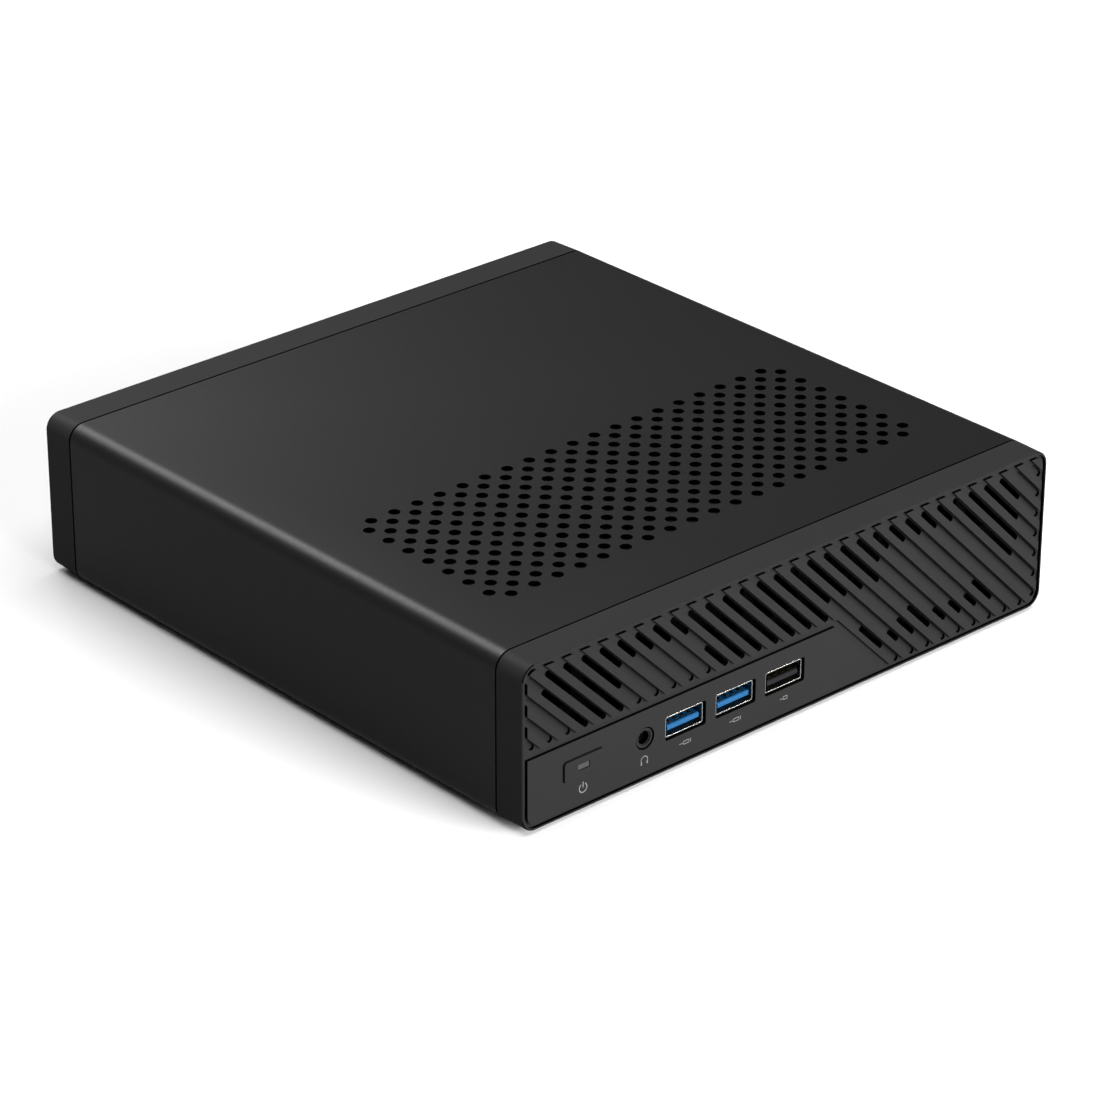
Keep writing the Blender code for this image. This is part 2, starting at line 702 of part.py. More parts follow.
def usb_a(number, x, z, mouth_y, facing, tongue_finish):
    """A type A receptacle: a steel shell and, in it, a plastic block with its tongue.

    facing is -1 for a mouth towards the front and 1 for one towards the rear.
    """
    def run(near, far):
        ends = sorted((mouth_y - facing * near, mouth_y - facing * far))
        return ends[0], ends[1]

    inner = (USB_A_SIZE[0] - 2 * USB_A_WALL, USB_A_SIZE[1] - 2 * USB_A_WALL)
    low, high = run(0, USB_A_LENGTH)
    outline = centred((x, z), USB_A_SIZE, USB_A_CORNER)
    shell = prism(f"usb_shell_{number}", [outline], low, high, "Y", BRIGHT_STEEL)
    low, high = run(-GAP, USB_A_LENGTH - USB_A_WALL)
    hollow = centred((x, z), inner, USB_A_CORNER - USB_A_WALL)
    cut(shell, prism(f"usb_hollow_{number}", [hollow], low, high))
    centre = z - USB_A_TONGUE_DROP
    blade = (centre - USB_A_TONGUE[1] / 2, centre + USB_A_TONGUE[1] / 2)
    block = (z - inner[1] / 2 + GAP, z + inner[1] / 2 - GAP)
    tip = mouth_y - facing * USB_A_TONGUE_SETBACK
    step = mouth_y - facing * (USB_A_LENGTH - USB_A_WALL - GAP - USB_A_BLOCK)
    end = mouth_y - facing * (USB_A_LENGTH - USB_A_WALL - GAP)
    profile = [(tip, blade[0]), (step, blade[0]), (step, block[0]), (end, block[0]),
               (end, block[1]), (step, block[1]), (step, blade[1]), (tip, blade[1])]
    half = USB_A_TONGUE[0] / 2
    return [shell, prism(f"usb_tongue_{number}", [profile], x - half, x + half, "X", tongue_finish)]


def front_sockets():
    z = FLOOR_Z + FRONT_SOCKET_HEIGHT
    made = []
    for i, x in enumerate(front_usb_positions()):
        finish = DARK_PLASTIC if i == FRONT_USB_COUNT - 1 else BLUE_PLASTIC
        made += usb_a(f"front_{i + 1}", x, z, FRONT_Y + SOCKET_RECESS, -1, finish)
    return made


def audio_jack():
    """A 3.5 mm jack: a block on the board and a round nose that fills the panel's hole."""
    centre = from_left(AUDIO_CENTRE)
    nose_y = FRONT_Y + AUDIO_RECESS
    block_y = BOARD_FRONT_Y + GAP
    block_end = block_y + AUDIO_BLOCK[1]
    block = centred(centre, (AUDIO_BLOCK[0], 2 * (centre[1] - BOARD_Z - GAP)))
    body = prism("audio_jack", [block], block_y, block_end, "Y", DARK_PLASTIC)
    join(body, prism("audio_nose", [circle(centre, AUDIO_NOSE, ROUND_SIDES)], nose_y, block_y + GAP))
    bore = circle(centre, AUDIO_BORE, 16)
    cut(body, prism("audio_bore", [bore], nose_y - GAP, block_end - AUDIO_END_WALL))
    return body


def socket(name, outline, length, cavity, cavity_depth, pin, pin_setback, finish):
    """A rear socket: a solid outline with a blind cavity and a tongue or pin in it."""
    low, high = REAR_MOUTH_Y - length, REAR_MOUTH_Y
    made = prism(name, [outline], low, high, "Y", finish)
    cut(made, prism(name + "_cavity", [cavity], high - cavity_depth, high + GAP))
    if pin:
        join(made, prism(name + "_pin", [pin], high - cavity_depth - GAP, high - pin_setback))
    return made


def stadium(centre, size, grow=0.0):
    """A flat outline with half-round ends."""
    half = size[1] / 2 + grow
    run = size[0] / 2 - size[1] / 2
    return (arc((centre[0] + run, centre[1]), half, -90, 180, 8)
            + arc((centre[0] - run, centre[1]), half, 90, 180, 8))


def hdmi_outline(centre, size, grow=0.0):
    """A wide outline whose lower corners are drawn in."""
    x0, x1 = centre[0] - size[0] / 2 - grow, centre[0] + size[0] / 2 + grow
    z0, z1 = centre[1] - size[1] / 2 - grow, centre[1] + size[1] / 2 + grow
    rise = HDMI_STEP
    return [(x0 + HDMI_STEP, z0), (x1 - HDMI_STEP, z0), (x1, z0 + rise), (x1, z1), (x0, z1), (x0, z0 + rise)]


def rear_row():
    """The rear sockets in order from the left, as seen from the front: name, width and height."""
    return (
        ("dc", DC_SIZE), ("hdmi", HDMI_SIZE), ("usb_c_1", USB_C_SIZE), ("usb_c_2", USB_C_SIZE),
        ("usb_a_1", USB_A_SIZE), ("usb_a_2", USB_A_SIZE), ("rj45_1", RJ45_SIZE), ("rj45_2", RJ45_SIZE),
    )


def rear_places():
    """Each rear socket's centre, spread with even gaps over the board's width."""
    row = rear_row()
    room = WIDTH - 2 * SHIELD_INSET - 2 * REAR_MARGIN
    gap = (room - sum(size[0] for _, size in row)) / (len(row) - 1)
    x = LEFT_X + SHIELD_INSET + REAR_MARGIN
    places = {}
    for name, size in row:
        lift = USB_C_LIFT if size is USB_C_SIZE else 0.0
        places[name] = (x + size[0] / 2, BOARD_Z + REAR_SOCKET_BASE + lift + size[1] / 2)
        x += size[0] + gap
    return places


def network_socket(number, x, z):
    """A shielded block with a blind cavity and, below it, the notch for the plug's catch."""
    width, height = RJ45_CAVITY
    floor = z - RJ45_SIZE[1] / 2 + RJ45_NOTCH[1] + RJ45_SILL
    cavity = rectangle((x - width / 2, floor), (x + width / 2, floor + height))
    outline = centred((x, z), RJ45_SIZE)
    made = socket(f"network_socket_{number}", outline, RJ45_LENGTH, cavity, RJ45_CAVITY_DEPTH,
                  None, 0, ZINC_STEEL)
    notch = rectangle((x - RJ45_NOTCH[0] / 2, floor - RJ45_NOTCH[1]), (x + RJ45_NOTCH[0] / 2, floor + GAP))
    notch_end = REAR_MOUTH_Y - RJ45_CAVITY_DEPTH + RJ45_NOTCH_END
    cut(made, prism(f"network_notch_{number}", [notch], notch_end, REAR_MOUTH_Y + GAP))
    return made


def rear_sockets():
    at = rear_places()
    bore, pin = circle(at["dc"], DC_BORE, ROUND_SIDES), circle(at["dc"], DC_PIN, 12)
    made = [socket("dc_inlet", centred(at["dc"], DC_SIZE), DC_LENGTH, bore, DC_DEPTH, pin, DC_PIN_SETBACK,
                   DARK_PLASTIC)]
    outline, cavity = hdmi_outline(at["hdmi"], HDMI_SIZE), hdmi_outline(at["hdmi"], HDMI_SIZE, -HDMI_WALL)
    blade = centred(shift(at["hdmi"], 0, HDMI_TONGUE_LIFT), HDMI_TONGUE)
    made.append(socket("video_socket", outline, HDMI_LENGTH, cavity, HDMI_CAVITY_DEPTH, blade,
                       HDMI_TONGUE_SETBACK, BRIGHT_STEEL))
    for number in (1, 2):
        place = at[f"usb_c_{number}"]
        outline, cavity = stadium(place, USB_C_SIZE), stadium(place, USB_C_SIZE, -USB_C_WALL)
        made.append(socket(f"usb_c_socket_{number}", outline, USB_C_LENGTH, cavity, USB_C_CAVITY_DEPTH,
                           centred(place, USB_C_TONGUE), USB_C_TONGUE_SETBACK, BRIGHT_STEEL))
    for number in (1, 2):
        x, z = at[f"usb_a_{number}"]
        made += usb_a(f"rear_{number}", x, z, REAR_MOUTH_Y, 1, BLUE_PLASTIC)
    for number in (1, 2):
        made.append(network_socket(number, *at[f"rj45_{number}"]))
    return made


# ---------------------------------------------------------------- chassis

def screw_places():
    x = WIDTH / 2 - TRAY_INSET - TRAY_SHEET - BOARD_SIDE_GAP - SCREW_INSET
    near, far = FRONT_Y + SCREW_FRONT, REAR_Y - SCREW_REAR
    return [(-x, near), (x, near), (-x, far), (x, far)]


def tray():
    """The sheet tray with two side flanges and four bored standoffs."""
    x0, x1 = LEFT_X + TRAY_INSET, RIGHT_X - TRAY_INSET
    z0, z1 = TRAY_Z, TRAY_Z + TRAY_FLANGE
    t = TRAY_SHEET
    outside = [(x0, z0), (x1, z0), (x1, z1)]
    inside = [(x1 - t, z1), (x1 - t, z0 + t), (x0 + t, z0 + t), (x0 + t, z1)]
    channel = outside + inside + [(x0, z1)]
    front = SHIELD_FRONT_Y + SHIELD_SHEET + GAP
    rear = SHIELD_REAR_Y - SHIELD_SHEET - GAP
    made = prism("tray", [channel], front, rear, "Y", ZINC_STEEL)
    board_under = BOARD_Z - BOARD_THICKNESS
    posts = [circle(place, STANDOFF_DIAMETER, 12) for place in screw_places()]
    join(made, prism("standoffs", posts, z0 + t / 2, board_under - GAP, "Z"))
    bores = [circle(place, SCREW_SHANK + 2 * SCREW_CLEARANCE, 12) for place in screw_places()]
    cut(made, prism("standoff_bores", bores, z0 - GAP, board_under, "Z"))
    return made


def front_shield():
    """The sheet behind the bezel, open behind the ribs and at each socket."""
    outer = section(SHIELD_INSET + GAP)
    low, high = SHIELD_FRONT_Y, SHIELD_FRONT_Y + SHIELD_SHEET
    made = prism("front_shield", [outer], low, high, "Y", ZINC_STEEL)
    holes = [usb_opening(x) for x in front_usb_positions()]
    holes.append(circle(from_left(AUDIO_CENTRE), AUDIO_HOLE + 2 * AUDIO_WINDOW_GAP, ROUND_SIDES))
    holes.append(centred(from_left(BUTTON_CENTRE), (SWITCH_WINDOW, SWITCH_WINDOW)))
    window_low, window_high = FLOOR_Z + UPPER_FIELD_BASE + WINDOW_BAR, TOP_Z - SHIELD_INSET - WINDOW_BAR
    span = WIDTH - 2 * (SHIELD_INSET + WINDOW_BAR)
    width = (span - (WINDOW_COUNT - 1) * WINDOW_BAR) / WINDOW_COUNT
    for i in range(WINDOW_COUNT):
        x = -span / 2 + i * (width + WINDOW_BAR)
        holes.append(rectangle((x, window_low), (x + width, window_high)))
    cut(made, prism("front_shield_openings", holes, low - GAP, high + GAP))
    return made


def rear_slots():
    """The upright vents of the rear panel, clear of the latch."""
    low = LEFT_X + SHIELD_INSET + REAR_MARGIN
    high = RIGHT_X - LATCH_FROM_RIGHT - LATCH_PAD[0]
    count = int((high - low - REAR_SLOT_WIDTH) / REAR_SLOT_PITCH) + 1
    z0, z1 = FLOOR_Z + REAR_SLOT_BASE, TOP_Z - REAR_SLOT_TOP_MARGIN
    return [rectangle((low + i * REAR_SLOT_PITCH, z0), (low + i * REAR_SLOT_PITCH + REAR_SLOT_WIDTH, z1))
            for i in range(count)]


def latch_centre():
    return (RIGHT_X - LATCH_FROM_RIGHT, TOP_Z - LATCH_BELOW_TOP)


def rear_shield():
    """The rear panel: a steel sheet with an opening for each socket, vents and the latch's slot."""
    low, high = SHIELD_REAR_Y - SHIELD_SHEET, SHIELD_REAR_Y
    made = prism("rear_shield", [section(SHIELD_INSET)], low, high, "Y", PAINTED_METAL)
    at = rear_places()
    holes = rear_slots()
    for name, size in rear_row():
        if name.startswith("usb_c"):
            holes.append(stadium(at[name], size, GAP))
        elif name == "hdmi":
            holes.append(hdmi_outline(at[name], size, GAP))
        else:
            holes.append(centred(at[name], size, 0.0, GAP))
    x, z = latch_centre()
    half, rise = LATCH_STEM[0] / 2 + GAP, LATCH_STEM[1] / 2 + GAP
    holes.append(rectangle((x - half, z - rise - LATCH_TRAVEL), (x + half, z + rise)))
    cut(made, prism("rear_shield_openings", holes, low - GAP, high + GAP))
    return made


def release_latch():
    """A thumb pad outside the rear panel, a stem through its slot and a keeper plate inside."""
    x, z = latch_centre()
    outer, inner = SHIELD_REAR_Y + GAP, SHIELD_REAR_Y - SHIELD_SHEET - GAP
    pad_end = REAR_Y - GAP
    face = centred((x, z), LATCH_PAD, LATCH_CORNER)
    pad = prism("release_latch", [face], outer, pad_end, "Y", DARK_PLASTIC)
    join(pad, prism("latch_stem", [centred((x, z), LATCH_STEM)], inner - LATCH_PLATE / 2, outer + GAP))
    keeper = centred((x, z), LATCH_PAD)
    join(pad, prism("latch_keeper", [keeper], inner - LATCH_PLATE, inner))
    return pad


def mainboard():
    left = TRAY_INNER_LEFT + BOARD_SIDE_GAP
    outline = rectangle((left, BOARD_FRONT_Y), (-left, SHIELD_REAR_Y - SHIELD_SHEET - GAP))
    holes = [circle(place, SCREW_SHANK + 2 * SCREW_CLEARANCE, 12) for place in screw_places()]
    return prism("mainboard", [outline] + holes, BOARD_Z - BOARD_THICKNESS, BOARD_Z, "Z", BOARD_GREEN)


def screw(name, place, under_head, length):
    """A pan-head screw whose head sits just clear of what it holds."""
    top = under_head + SCREW_HEAD_HEIGHT
    head, shank, end = SCREW_HEAD / 2, SCREW_SHANK / 2, under_head - length
    profile = [(0, top), (head - SCREW_HEAD_BEVEL, top), (head, top - SCREW_HEAD_BEVEL),
               (head, under_head), (shank, under_head), (shank, end), (0, end)]
    return turned(name, profile, Vector((place[0], place[1], 0)), "Z", 12, BRIGHT_STEEL)


def board_screws():
    under_head = BOARD_Z + GAP
    length = under_head - TRAY_Z - TRAY_SHEET
    places = enumerate(screw_places(), 1)
    return [screw(f"board_screw_{i}", place, under_head, length) for i, place in places]


# ---------------------------------------------------------------- cooling

def blower_box():
    """Low and high corners of the blower in plan."""
    low = (LEFT_X + COOLER_LEFT, FRONT_Y + BLOWER_FRONT)
    return low, (low[0] + COOLER_WIDTH, low[1] + COOLER_WIDTH)


def blower_centre():
    low, high = blower_box()
    return ((low[0] + high[0]) / 2, (low[1] + high[1]) / 2)


def blower():
    """A square case with a round chamber that opens to the rear, its cover with the inlet, the rotor."""
    low, high = blower_box()
    centre = blower_centre()
    base_z = BOARD_Z + BLOWER_BASE_LIFT
    floor_z = base_z + BLOWER_WALL
    cover_z = COOLER_TOP_Z - BLOWER_WALL
    outline = rounded(low, high, BLOWER_CORNER)
    case = prism("blower_case", [outline], base_z, cover_z - GAP, "Z", DARK_PLASTIC)
    chamber = COOLER_WIDTH - 2 * BLOWER_WALL
    cut(case, prism("blower_chamber", [circle(centre, chamber, 40)], floor_z, cover_z + GAP, "Z"))
    outlet_right = high[0] - 2 * BLOWER_WALL
    outlet = rectangle((outlet_right - BLOWER_OUTLET, centre[1]), (outlet_right, high[1] + GAP))
    cut(case, prism("blower_outlet", [outlet], floor_z, cover_z + GAP, "Z"))
    inlet = circle(centre, BLOWER_INLET, 32)
    cover = prism("blower_cover", [outline, inlet], cover_z, COOLER_TOP_Z, "Z", DARK_PLASTIC)
    room = (floor_z + ROTOR_CLEARANCE, cover_z - GAP - ROTOR_CLEARANCE)
    return [case, cover], blower_rotor(centre, room, chamber / 2 - ROTOR_CLEARANCE)


def blower_rotor(centre, room, radius):
    """A back disc with a hub and a ring of swept blades, its origin on the shaft's axis."""
    low, high = room
    place = Vector((centre[0], centre[1], 0))
    disc_top, inside = low + ROTOR_DISC, low + ROTOR_DISC / 2
    disc = [(0, disc_top), (radius, disc_top), (radius, low), (0, low)]
    rotor = turned("blower_rotor", disc, place, "Z", 44, DARK_PLASTIC)
    hub = ROTOR_HUB / 2
    crown = [(0, high), (hub - MM, high), (hub, high - MM), (hub, inside), (0, inside)]
    join(rotor, turned("rotor_hub", crown, place))
    blades = []
    sweep = math.radians(ROTOR_SWEEP)
    for i in range(ROTOR_BLADES):
        angle = 2 * math.pi * i / ROTOR_BLADES
        root = Vector((math.cos(angle), math.sin(angle))) * (radius - ROTOR_BLADE_LENGTH)
        tip = Vector((math.cos(angle + sweep), math.sin(angle + sweep))) * (radius - ROTOR_RIM)
        side = (tip - root).orthogonal().normalized() * ROTOR_BLADE_THICKNESS / 2
        corners = (root - side, tip - side, tip + side, root + side)
        blades.append([shift(centre, corner.x, corner.y) for corner in corners])
    join(rotor, prism("rotor_blades", blades, inside, high - MM, "Z"))
    return rotor


def heatsink():
    """A comb of fins behind the blower, its base on the processor."""
    low, high = blower_box()
    front = high[1] + HEATSINK_FRONT_GAP
    rear = REAR_MOUTH_Y - RJ45_LENGTH - HEATSINK_REAR_GAP
    chip_z = BOARD_Z + GAP
    base = chip_z + PROCESSOR_HEIGHT + GAP
    profile = [(low[0], base), (high[0], base)]
    pitch = (COOLER_WIDTH - HEATSINK_FIN) / (HEATSINK_FINS - 1)
    root = base + HEATSINK_BASE
    for i in range(HEATSINK_FINS):
        right = high[0] - i * pitch
        profile += [(right, COOLER_TOP_Z), (right - HEATSINK_FIN, COOLER_TOP_Z)]
        if i < HEATSINK_FINS - 1:
            profile += [(right - HEATSINK_FIN, root), (high[0] - (i + 1) * pitch, root)]
    made = prism("heatsink", [profile], front, rear, "Y", ALUMINIUM)
    depth = min(PROCESSOR_SIZE, rear - front - 2 * MM)
    centre = (blower_centre()[0], (front + rear) / 2)
    outline = centred(centre, (PROCESSOR_SIZE, depth))
    return [made, prism("processor", [outline], chip_z, chip_z + PROCESSOR_HEIGHT, "Z", BRIGHT_STEEL)]


# ---------------------------------------------------------------- plug-in boards

def card(name, low, size, z, thickness, finish=BOARD_GREEN):
    """A flat board with its low corner at low."""
    return prism(name, [rectangle(low, (low[0] + size[0], low[1] + size[1]))], z, z + thickness, "Z", finish)


def plug_in_boards():
    """Storage, memory, wireless card and clock cell, in the bay beside the cooler."""
    bay_x = blower_box()[1][0] + CARD_GAP
    bay_y = FRONT_Y + BLOWER_FRONT
    seat_z = BOARD_Z + GAP
    made = []

    socket_low = (bay_x + (SSD_SIZE[0] - SSD_SOCKET[0]) / 2, bay_y)
    ssd_low = (bay_x, bay_y + SSD_SOCKET[1] + GAP)
    ssd_z = BOARD_Z + SSD_LIFT
    ssd_top = ssd_z + SSD_THICKNESS
    made.append(card("ssd_socket", socket_low, SSD_SOCKET, seat_z, ssd_top - BOARD_Z, DARK_PLASTIC))
    screw_at = (bay_x + SSD_SIZE[0] / 2, ssd_low[1] + SSD_SIZE[1])
    module = card("ssd_module", ssd_low, SSD_SIZE, ssd_z, SSD_THICKNESS)
    notch = circle(screw_at, SCREW_SHANK + 2 * SCREW_CLEARANCE, 16)
    cut(module, prism("ssd_notch", [notch], ssd_z - GAP, ssd_top + GAP, "Z"))
    made.append(module)
    made.append(screw("ssd_screw", screw_at, ssd_top + GAP, ssd_top - BOARD_Z))

    memory_x = bay_x + SSD_SIZE[0] + CARD_GAP
    low_z = BOARD_Z + MEMORY_LIFT
    socket_size = (MEMORY_SOCKET_WIDTH, MEMORY_SIZE[1])
    socket_top = low_z + MEMORY_STEP + MEMORY_THICKNESS + MEMORY_SOCKET_RISE
    rise = socket_top - seat_z
    made.append(card("memory_socket", (memory_x, bay_y), socket_size, seat_z, rise, DARK_PLASTIC))
    module_low = (memory_x + MEMORY_SOCKET_WIDTH + GAP, bay_y)
    for i in range(2):
        z = low_z + i * MEMORY_STEP
        made.append(card(f"memory_module_{i + 1}", module_low, MEMORY_SIZE, z, MEMORY_THICKNESS))

    wireless_low = (memory_x, bay_y + MEMORY_SIZE[1] + CARD_GAP)
    wireless_z = BOARD_Z + WIRELESS_LIFT
    made.append(card("wireless_card", wireless_low, WIRELESS_SIZE, wireless_z, WIRELESS_THICKNESS))

    half = COIN_CELL_DIAMETER / 2
    cell_y = screw_at[1] + SCREW_HEAD / 2 + CARD_GAP / 2 + half
    place = Vector((screw_at[0], cell_y, 0))
    holder_top = seat_z + COIN_HOLDER_HEIGHT
    plate = [(0, holder_top), (half, holder_top), (half, seat_z), (0, seat_z)]
    made.append(turned("coin_cell_holder", plate, place, "Z", ROUND_SIDES, DARK_PLASTIC))
    base = holder_top + GAP
    top, step = base + COIN_CELL_HEIGHT, base + COIN_CELL_STEP[1]
    can = half - COIN_CELL_STEP[0]
    profile = [(0, top), (can, top), (can, step), (half, step), (half, base), (0, base)]
    made.append(turned("coin_cell", profile, place, "Z", ROUND_SIDES, BRIGHT_STEEL))
    return made


def power_switch():
    """The board's own switch behind the button."""
    x, z = from_left(BUTTON_CENTRE)
    stem_y = FRONT_Y + BASE_DEPTH + PANEL_THICKNESS + GAP + BUTTON_FLANGE + BUTTON_TRAVEL + GAP
    case_y = BOARD_FRONT_Y + GAP
    block = centred((x, z), (SWITCH_CASE[0], 2 * (z - BOARD_Z - GAP)))
    case = prism("power_switch", [block], case_y, case_y + SWITCH_CASE[1], "Y", DARK_PLASTIC)
    stem = centred((x, z), (SWITCH_STEM, SWITCH_STEM))
    join(case, prism("switch_stem", [stem], stem_y, case_y + SWITCH_CASE[1] / 2))
    return case


# ---------------------------------------------------------------- assembly

def main():
    for found in list(bpy.data.objects):
        bpy.data.objects.remove(found, do_unlink=True)
    new_collection("mini_pc")
    new_collection("cutters")

    sleeve()
    feet()
    rear_collar()

    chassis = [front_bezel(), front_shield(), tray(), mainboard(), rear_shield(), audio_jack()]
    chassis += [power_switch()] + board_screws() + front_sockets() + rear_sockets()
    chassis += plug_in_boards() + heatsink()
    blower_parts, rotor = blower()
    chassis += blower_parts

    chassis_holder = holder("chassis_slide", (0, FRONT_Y, FLOOR_Z))
    carry(chassis_holder, chassis)
    x, z = from_left(BUTTON_CENTRE)
    button_holder = holder("power_button_slide", (x, FRONT_Y, z))
    carry(button_holder, power_button())
    x, z = latch_centre()
    latch_holder = holder("release_latch_slide", (x, REAR_Y, z))
    carry(latch_holder, [release_latch()])
    carry(chassis_holder, [button_holder, latch_holder, rotor])


main()
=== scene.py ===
"""Finished surfaces and small parts of a mini pc, built round its packed frame.

The file is laid out as an add-on and is run as a script. Lengths in the code are millimetres in
the row frame (+Z up, the front face towards -Y) and become metres where a mesh is made.
"""

import math
import random
from itertools import product

import bmesh
import bpy
from bpy.props import FloatProperty, FloatVectorProperty, IntProperty, PointerProperty
from mathutils import Matrix, Vector
from mathutils.geometry import tessellate_polygon


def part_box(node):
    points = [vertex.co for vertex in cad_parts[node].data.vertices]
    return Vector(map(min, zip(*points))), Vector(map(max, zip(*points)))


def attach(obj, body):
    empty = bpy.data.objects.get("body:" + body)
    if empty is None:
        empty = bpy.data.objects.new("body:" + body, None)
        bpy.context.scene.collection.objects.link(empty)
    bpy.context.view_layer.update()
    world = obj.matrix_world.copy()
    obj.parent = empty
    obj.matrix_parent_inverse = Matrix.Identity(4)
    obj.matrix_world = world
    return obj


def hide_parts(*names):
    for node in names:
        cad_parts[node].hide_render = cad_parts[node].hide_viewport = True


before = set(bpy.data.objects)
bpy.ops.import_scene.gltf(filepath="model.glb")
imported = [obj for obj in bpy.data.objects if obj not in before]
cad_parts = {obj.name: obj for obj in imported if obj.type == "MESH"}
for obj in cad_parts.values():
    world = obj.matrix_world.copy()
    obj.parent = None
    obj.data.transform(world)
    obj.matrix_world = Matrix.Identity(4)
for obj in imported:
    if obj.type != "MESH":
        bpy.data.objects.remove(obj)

bl_info = {
    "name": "Mini PC",
    "version": (1, 0, 0),
    "blender": (4, 5, 0),
    "location": "3D View > Sidebar > Mini PC",
    "description": "Builds a mini pc's shells, sockets, boards and studio round its packed frame",
    "category": "Object",
}

MM = 0.001
SHARP = math.radians(30)  # an edge that turns more than this is rounded


def cad(node):
    """A CAD node's lowest and highest corners in millimetres."""
    low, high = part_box(node)
    return low / MM, high / MM


def middle(node_name):
    low, high = cad(node_name)
    return (low + high) / 2


def face_on(node_name):
    """A node's centre seen from the front: X and Z."""
    centre = middle(node_name)
    return centre.x, centre.z


def plan(node_name):
    """A node's centre seen from above: X and Y."""
    centre = middle(node_name)
    return centre.x, centre.y


def linear(hex_colour):
    """An sRGB hex value as linear red, green, blue."""
    channels = [int(hex_colour[i:i + 2], 16) / 255 for i in (1, 3, 5)]
    return [c / 12.92 if c <= 0.04045 else ((c + 0.055) / 1.055) ** 2.4 for c in channels]


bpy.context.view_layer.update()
BEZEL, COLLAR, SLEEVE = cad("front_bezel"), cad("rear_collar"), cad("sleeve")
LEFT, RIGHT = BEZEL[0].x, BEZEL[1].x
FRONT, REAR = BEZEL[0].y, COLLAR[1].y
FLOOR, TOP = BEZEL[0].z, BEZEL[1].z
WIDTH, HEIGHT = RIGHT - LEFT, TOP - FLOOR
BOARD = cad("mainboard")
SHIELD = cad("rear_shield")
FEET = ("foot_front_left", "foot_front_right", "foot_rear_left", "foot_rear_right")
FRONT_USB = ("front_1", "front_2", "front_3")

GAP = 0.3               # running gap between neighbours
TAPER = 0.28            # chamfer at the outer end of a plastic band
TONGUE = 1.5            # inset of a band's tongue, which enters the sleeve
BAND_BORE = 3.3         # inset of a band's inside
FRONT_BAND = 9.26       # length of the bezel's band
REAR_BAND = 11.0        # length of the collar's band
LIP = 2.0               # depth of the collar's rear lip
PANEL_BACK = 2.92       # back of the bezel's panel behind its face
SLEEVE_SHORT = 0.2      # what the sleeve leaves open at each seam
SEAM_SHADE = 0.08       # strip beside a seam that gets the painted shade
VENT_SHIFT = 0.65       # the field of vents lies this far to the right
FOOT_SEAT = 14.6        # diameter of a foot's seat
BLOWER_WALL = 3.2       # the blower case's two walls together

# The slanted grooves of the front face.
GROOVE_FIRST = -19.68   # line of the first groove
GROOVE_LAST = 7.6       # least distance of the last line from the right
GROOVE_TOP = 5.0        # least depth of a groove's upper end below the top
GROOVE_SIDE = 2.6       # least distance of a groove's end from the sides
FIRST_LONG = 18         # the first groove that runs past the socket pad
SHORT_BASE = 23.65      # height of a short groove's lower end
LONG_BASE = 2.65        # height of a long groove's lower end
CHANNEL_HALF = 1.51     # half of the channel that a groove lies in
SLOT_WIDTH = 1.62       # width of an open stretch
FIELD = 2.0             # distance of the ribbed field from the face's edge
RIB_ROOT = 0.35         # how far a rib goes into the base behind it
UPPER_BASE = 22.6       # height of the short ribs' lower ends
FIRST_LONG_RIB = 85.05  # line where the first long rib starts
PAD_TOP = 20.75         # height of the socket pad's upper edge
PAD_RIGHT = 82.35       # line of the socket pad's slanted edge

# Open stretches of the grooves: first and last groove, then start and end below the top.
OPEN_RUNS = (
    (3, 3, 10.5, None), (4, 5, None, None), (6, 6, None, 17.7), (7, 7, None, 11.7),
    (8, 11, None, 10.5), (11, 11, 17.7, None), (12, 17, None, None), (18, 21, None, 19.2),
    (22, 22, None, 13.2), (23, 27, None, 10.5), (28, 28, None, 28.8), (29, 29, None, 24.6),
    (30, 30, None, 18.5), (31, 31, None, 12.5), (18, 18, 31.9, 39.5), (19, 19, 36.6, 39.5),
    (20, 20, 34.1, 39.5), (21, 21, 31.9, 39.5), (22, 24, 35.8, 39.5), (25, 25, 32.7, 39.5),
)


# ------------------------------------------------------------------ settings

def length(name, description, default):
    return FloatProperty(name=name, description=description, default=default * MM, min=0.0,
                         precision=4, unit="LENGTH", subtype="DISTANCE")


def colour(name, description, hex_colour):
    return FloatVectorProperty(name=name, description=description, default=linear(hex_colour),
                               min=0.0, max=1.0, subtype="COLOR")


def watts(name, description, default):
    return FloatProperty(name=name, description=description, default=default, min=0.0,
                         unit="POWER")


class ShellSizes(bpy.types.PropertyGroup):
    """Sizes of the outer shells."""

    corner_radius: length("Corner radius", "Radius of the body's four long edges", 4.8)
    edge_softness: length("Edge softness", "Rounding left on a moulded edge", 0.07)
    sleeve_wall: length("Sleeve wall", "Thickness of the metal sleeve", 1.2)
    vent_diameter: length("Vent diameter", "Diameter of a top vent", 3.3)
    vent_pitch_x: length("Vent pitch across", "Distance between vents in a row", 7.83)
    vent_pitch_y: length("Vent pitch along", "Distance between rows of vents", 3.92)
    vent_first: length("First row", "Distance of the first vent row behind the front", 31.7)
    vent_margin: length("Vent margin", "Least distance of a vent from the sides", 20.1)
    vent_rows: IntProperty(name="Vent rows", description="Rows of top vents", default=15, min=1)
    rim: length("Rim width", "Width of the bezel's rim", 0.95)
    relief: length("Relief depth", "Depth of the base behind the ribs", 0.95)
    rib_pitch: length("Rib pitch", "Distance between ribs along the face", 6.02)
    groove_width: length("Groove width", "Width of the groove in a channel", 1.78)
    groove_depth: length("Groove depth", "Depth of a groove below its channel", 0.8)


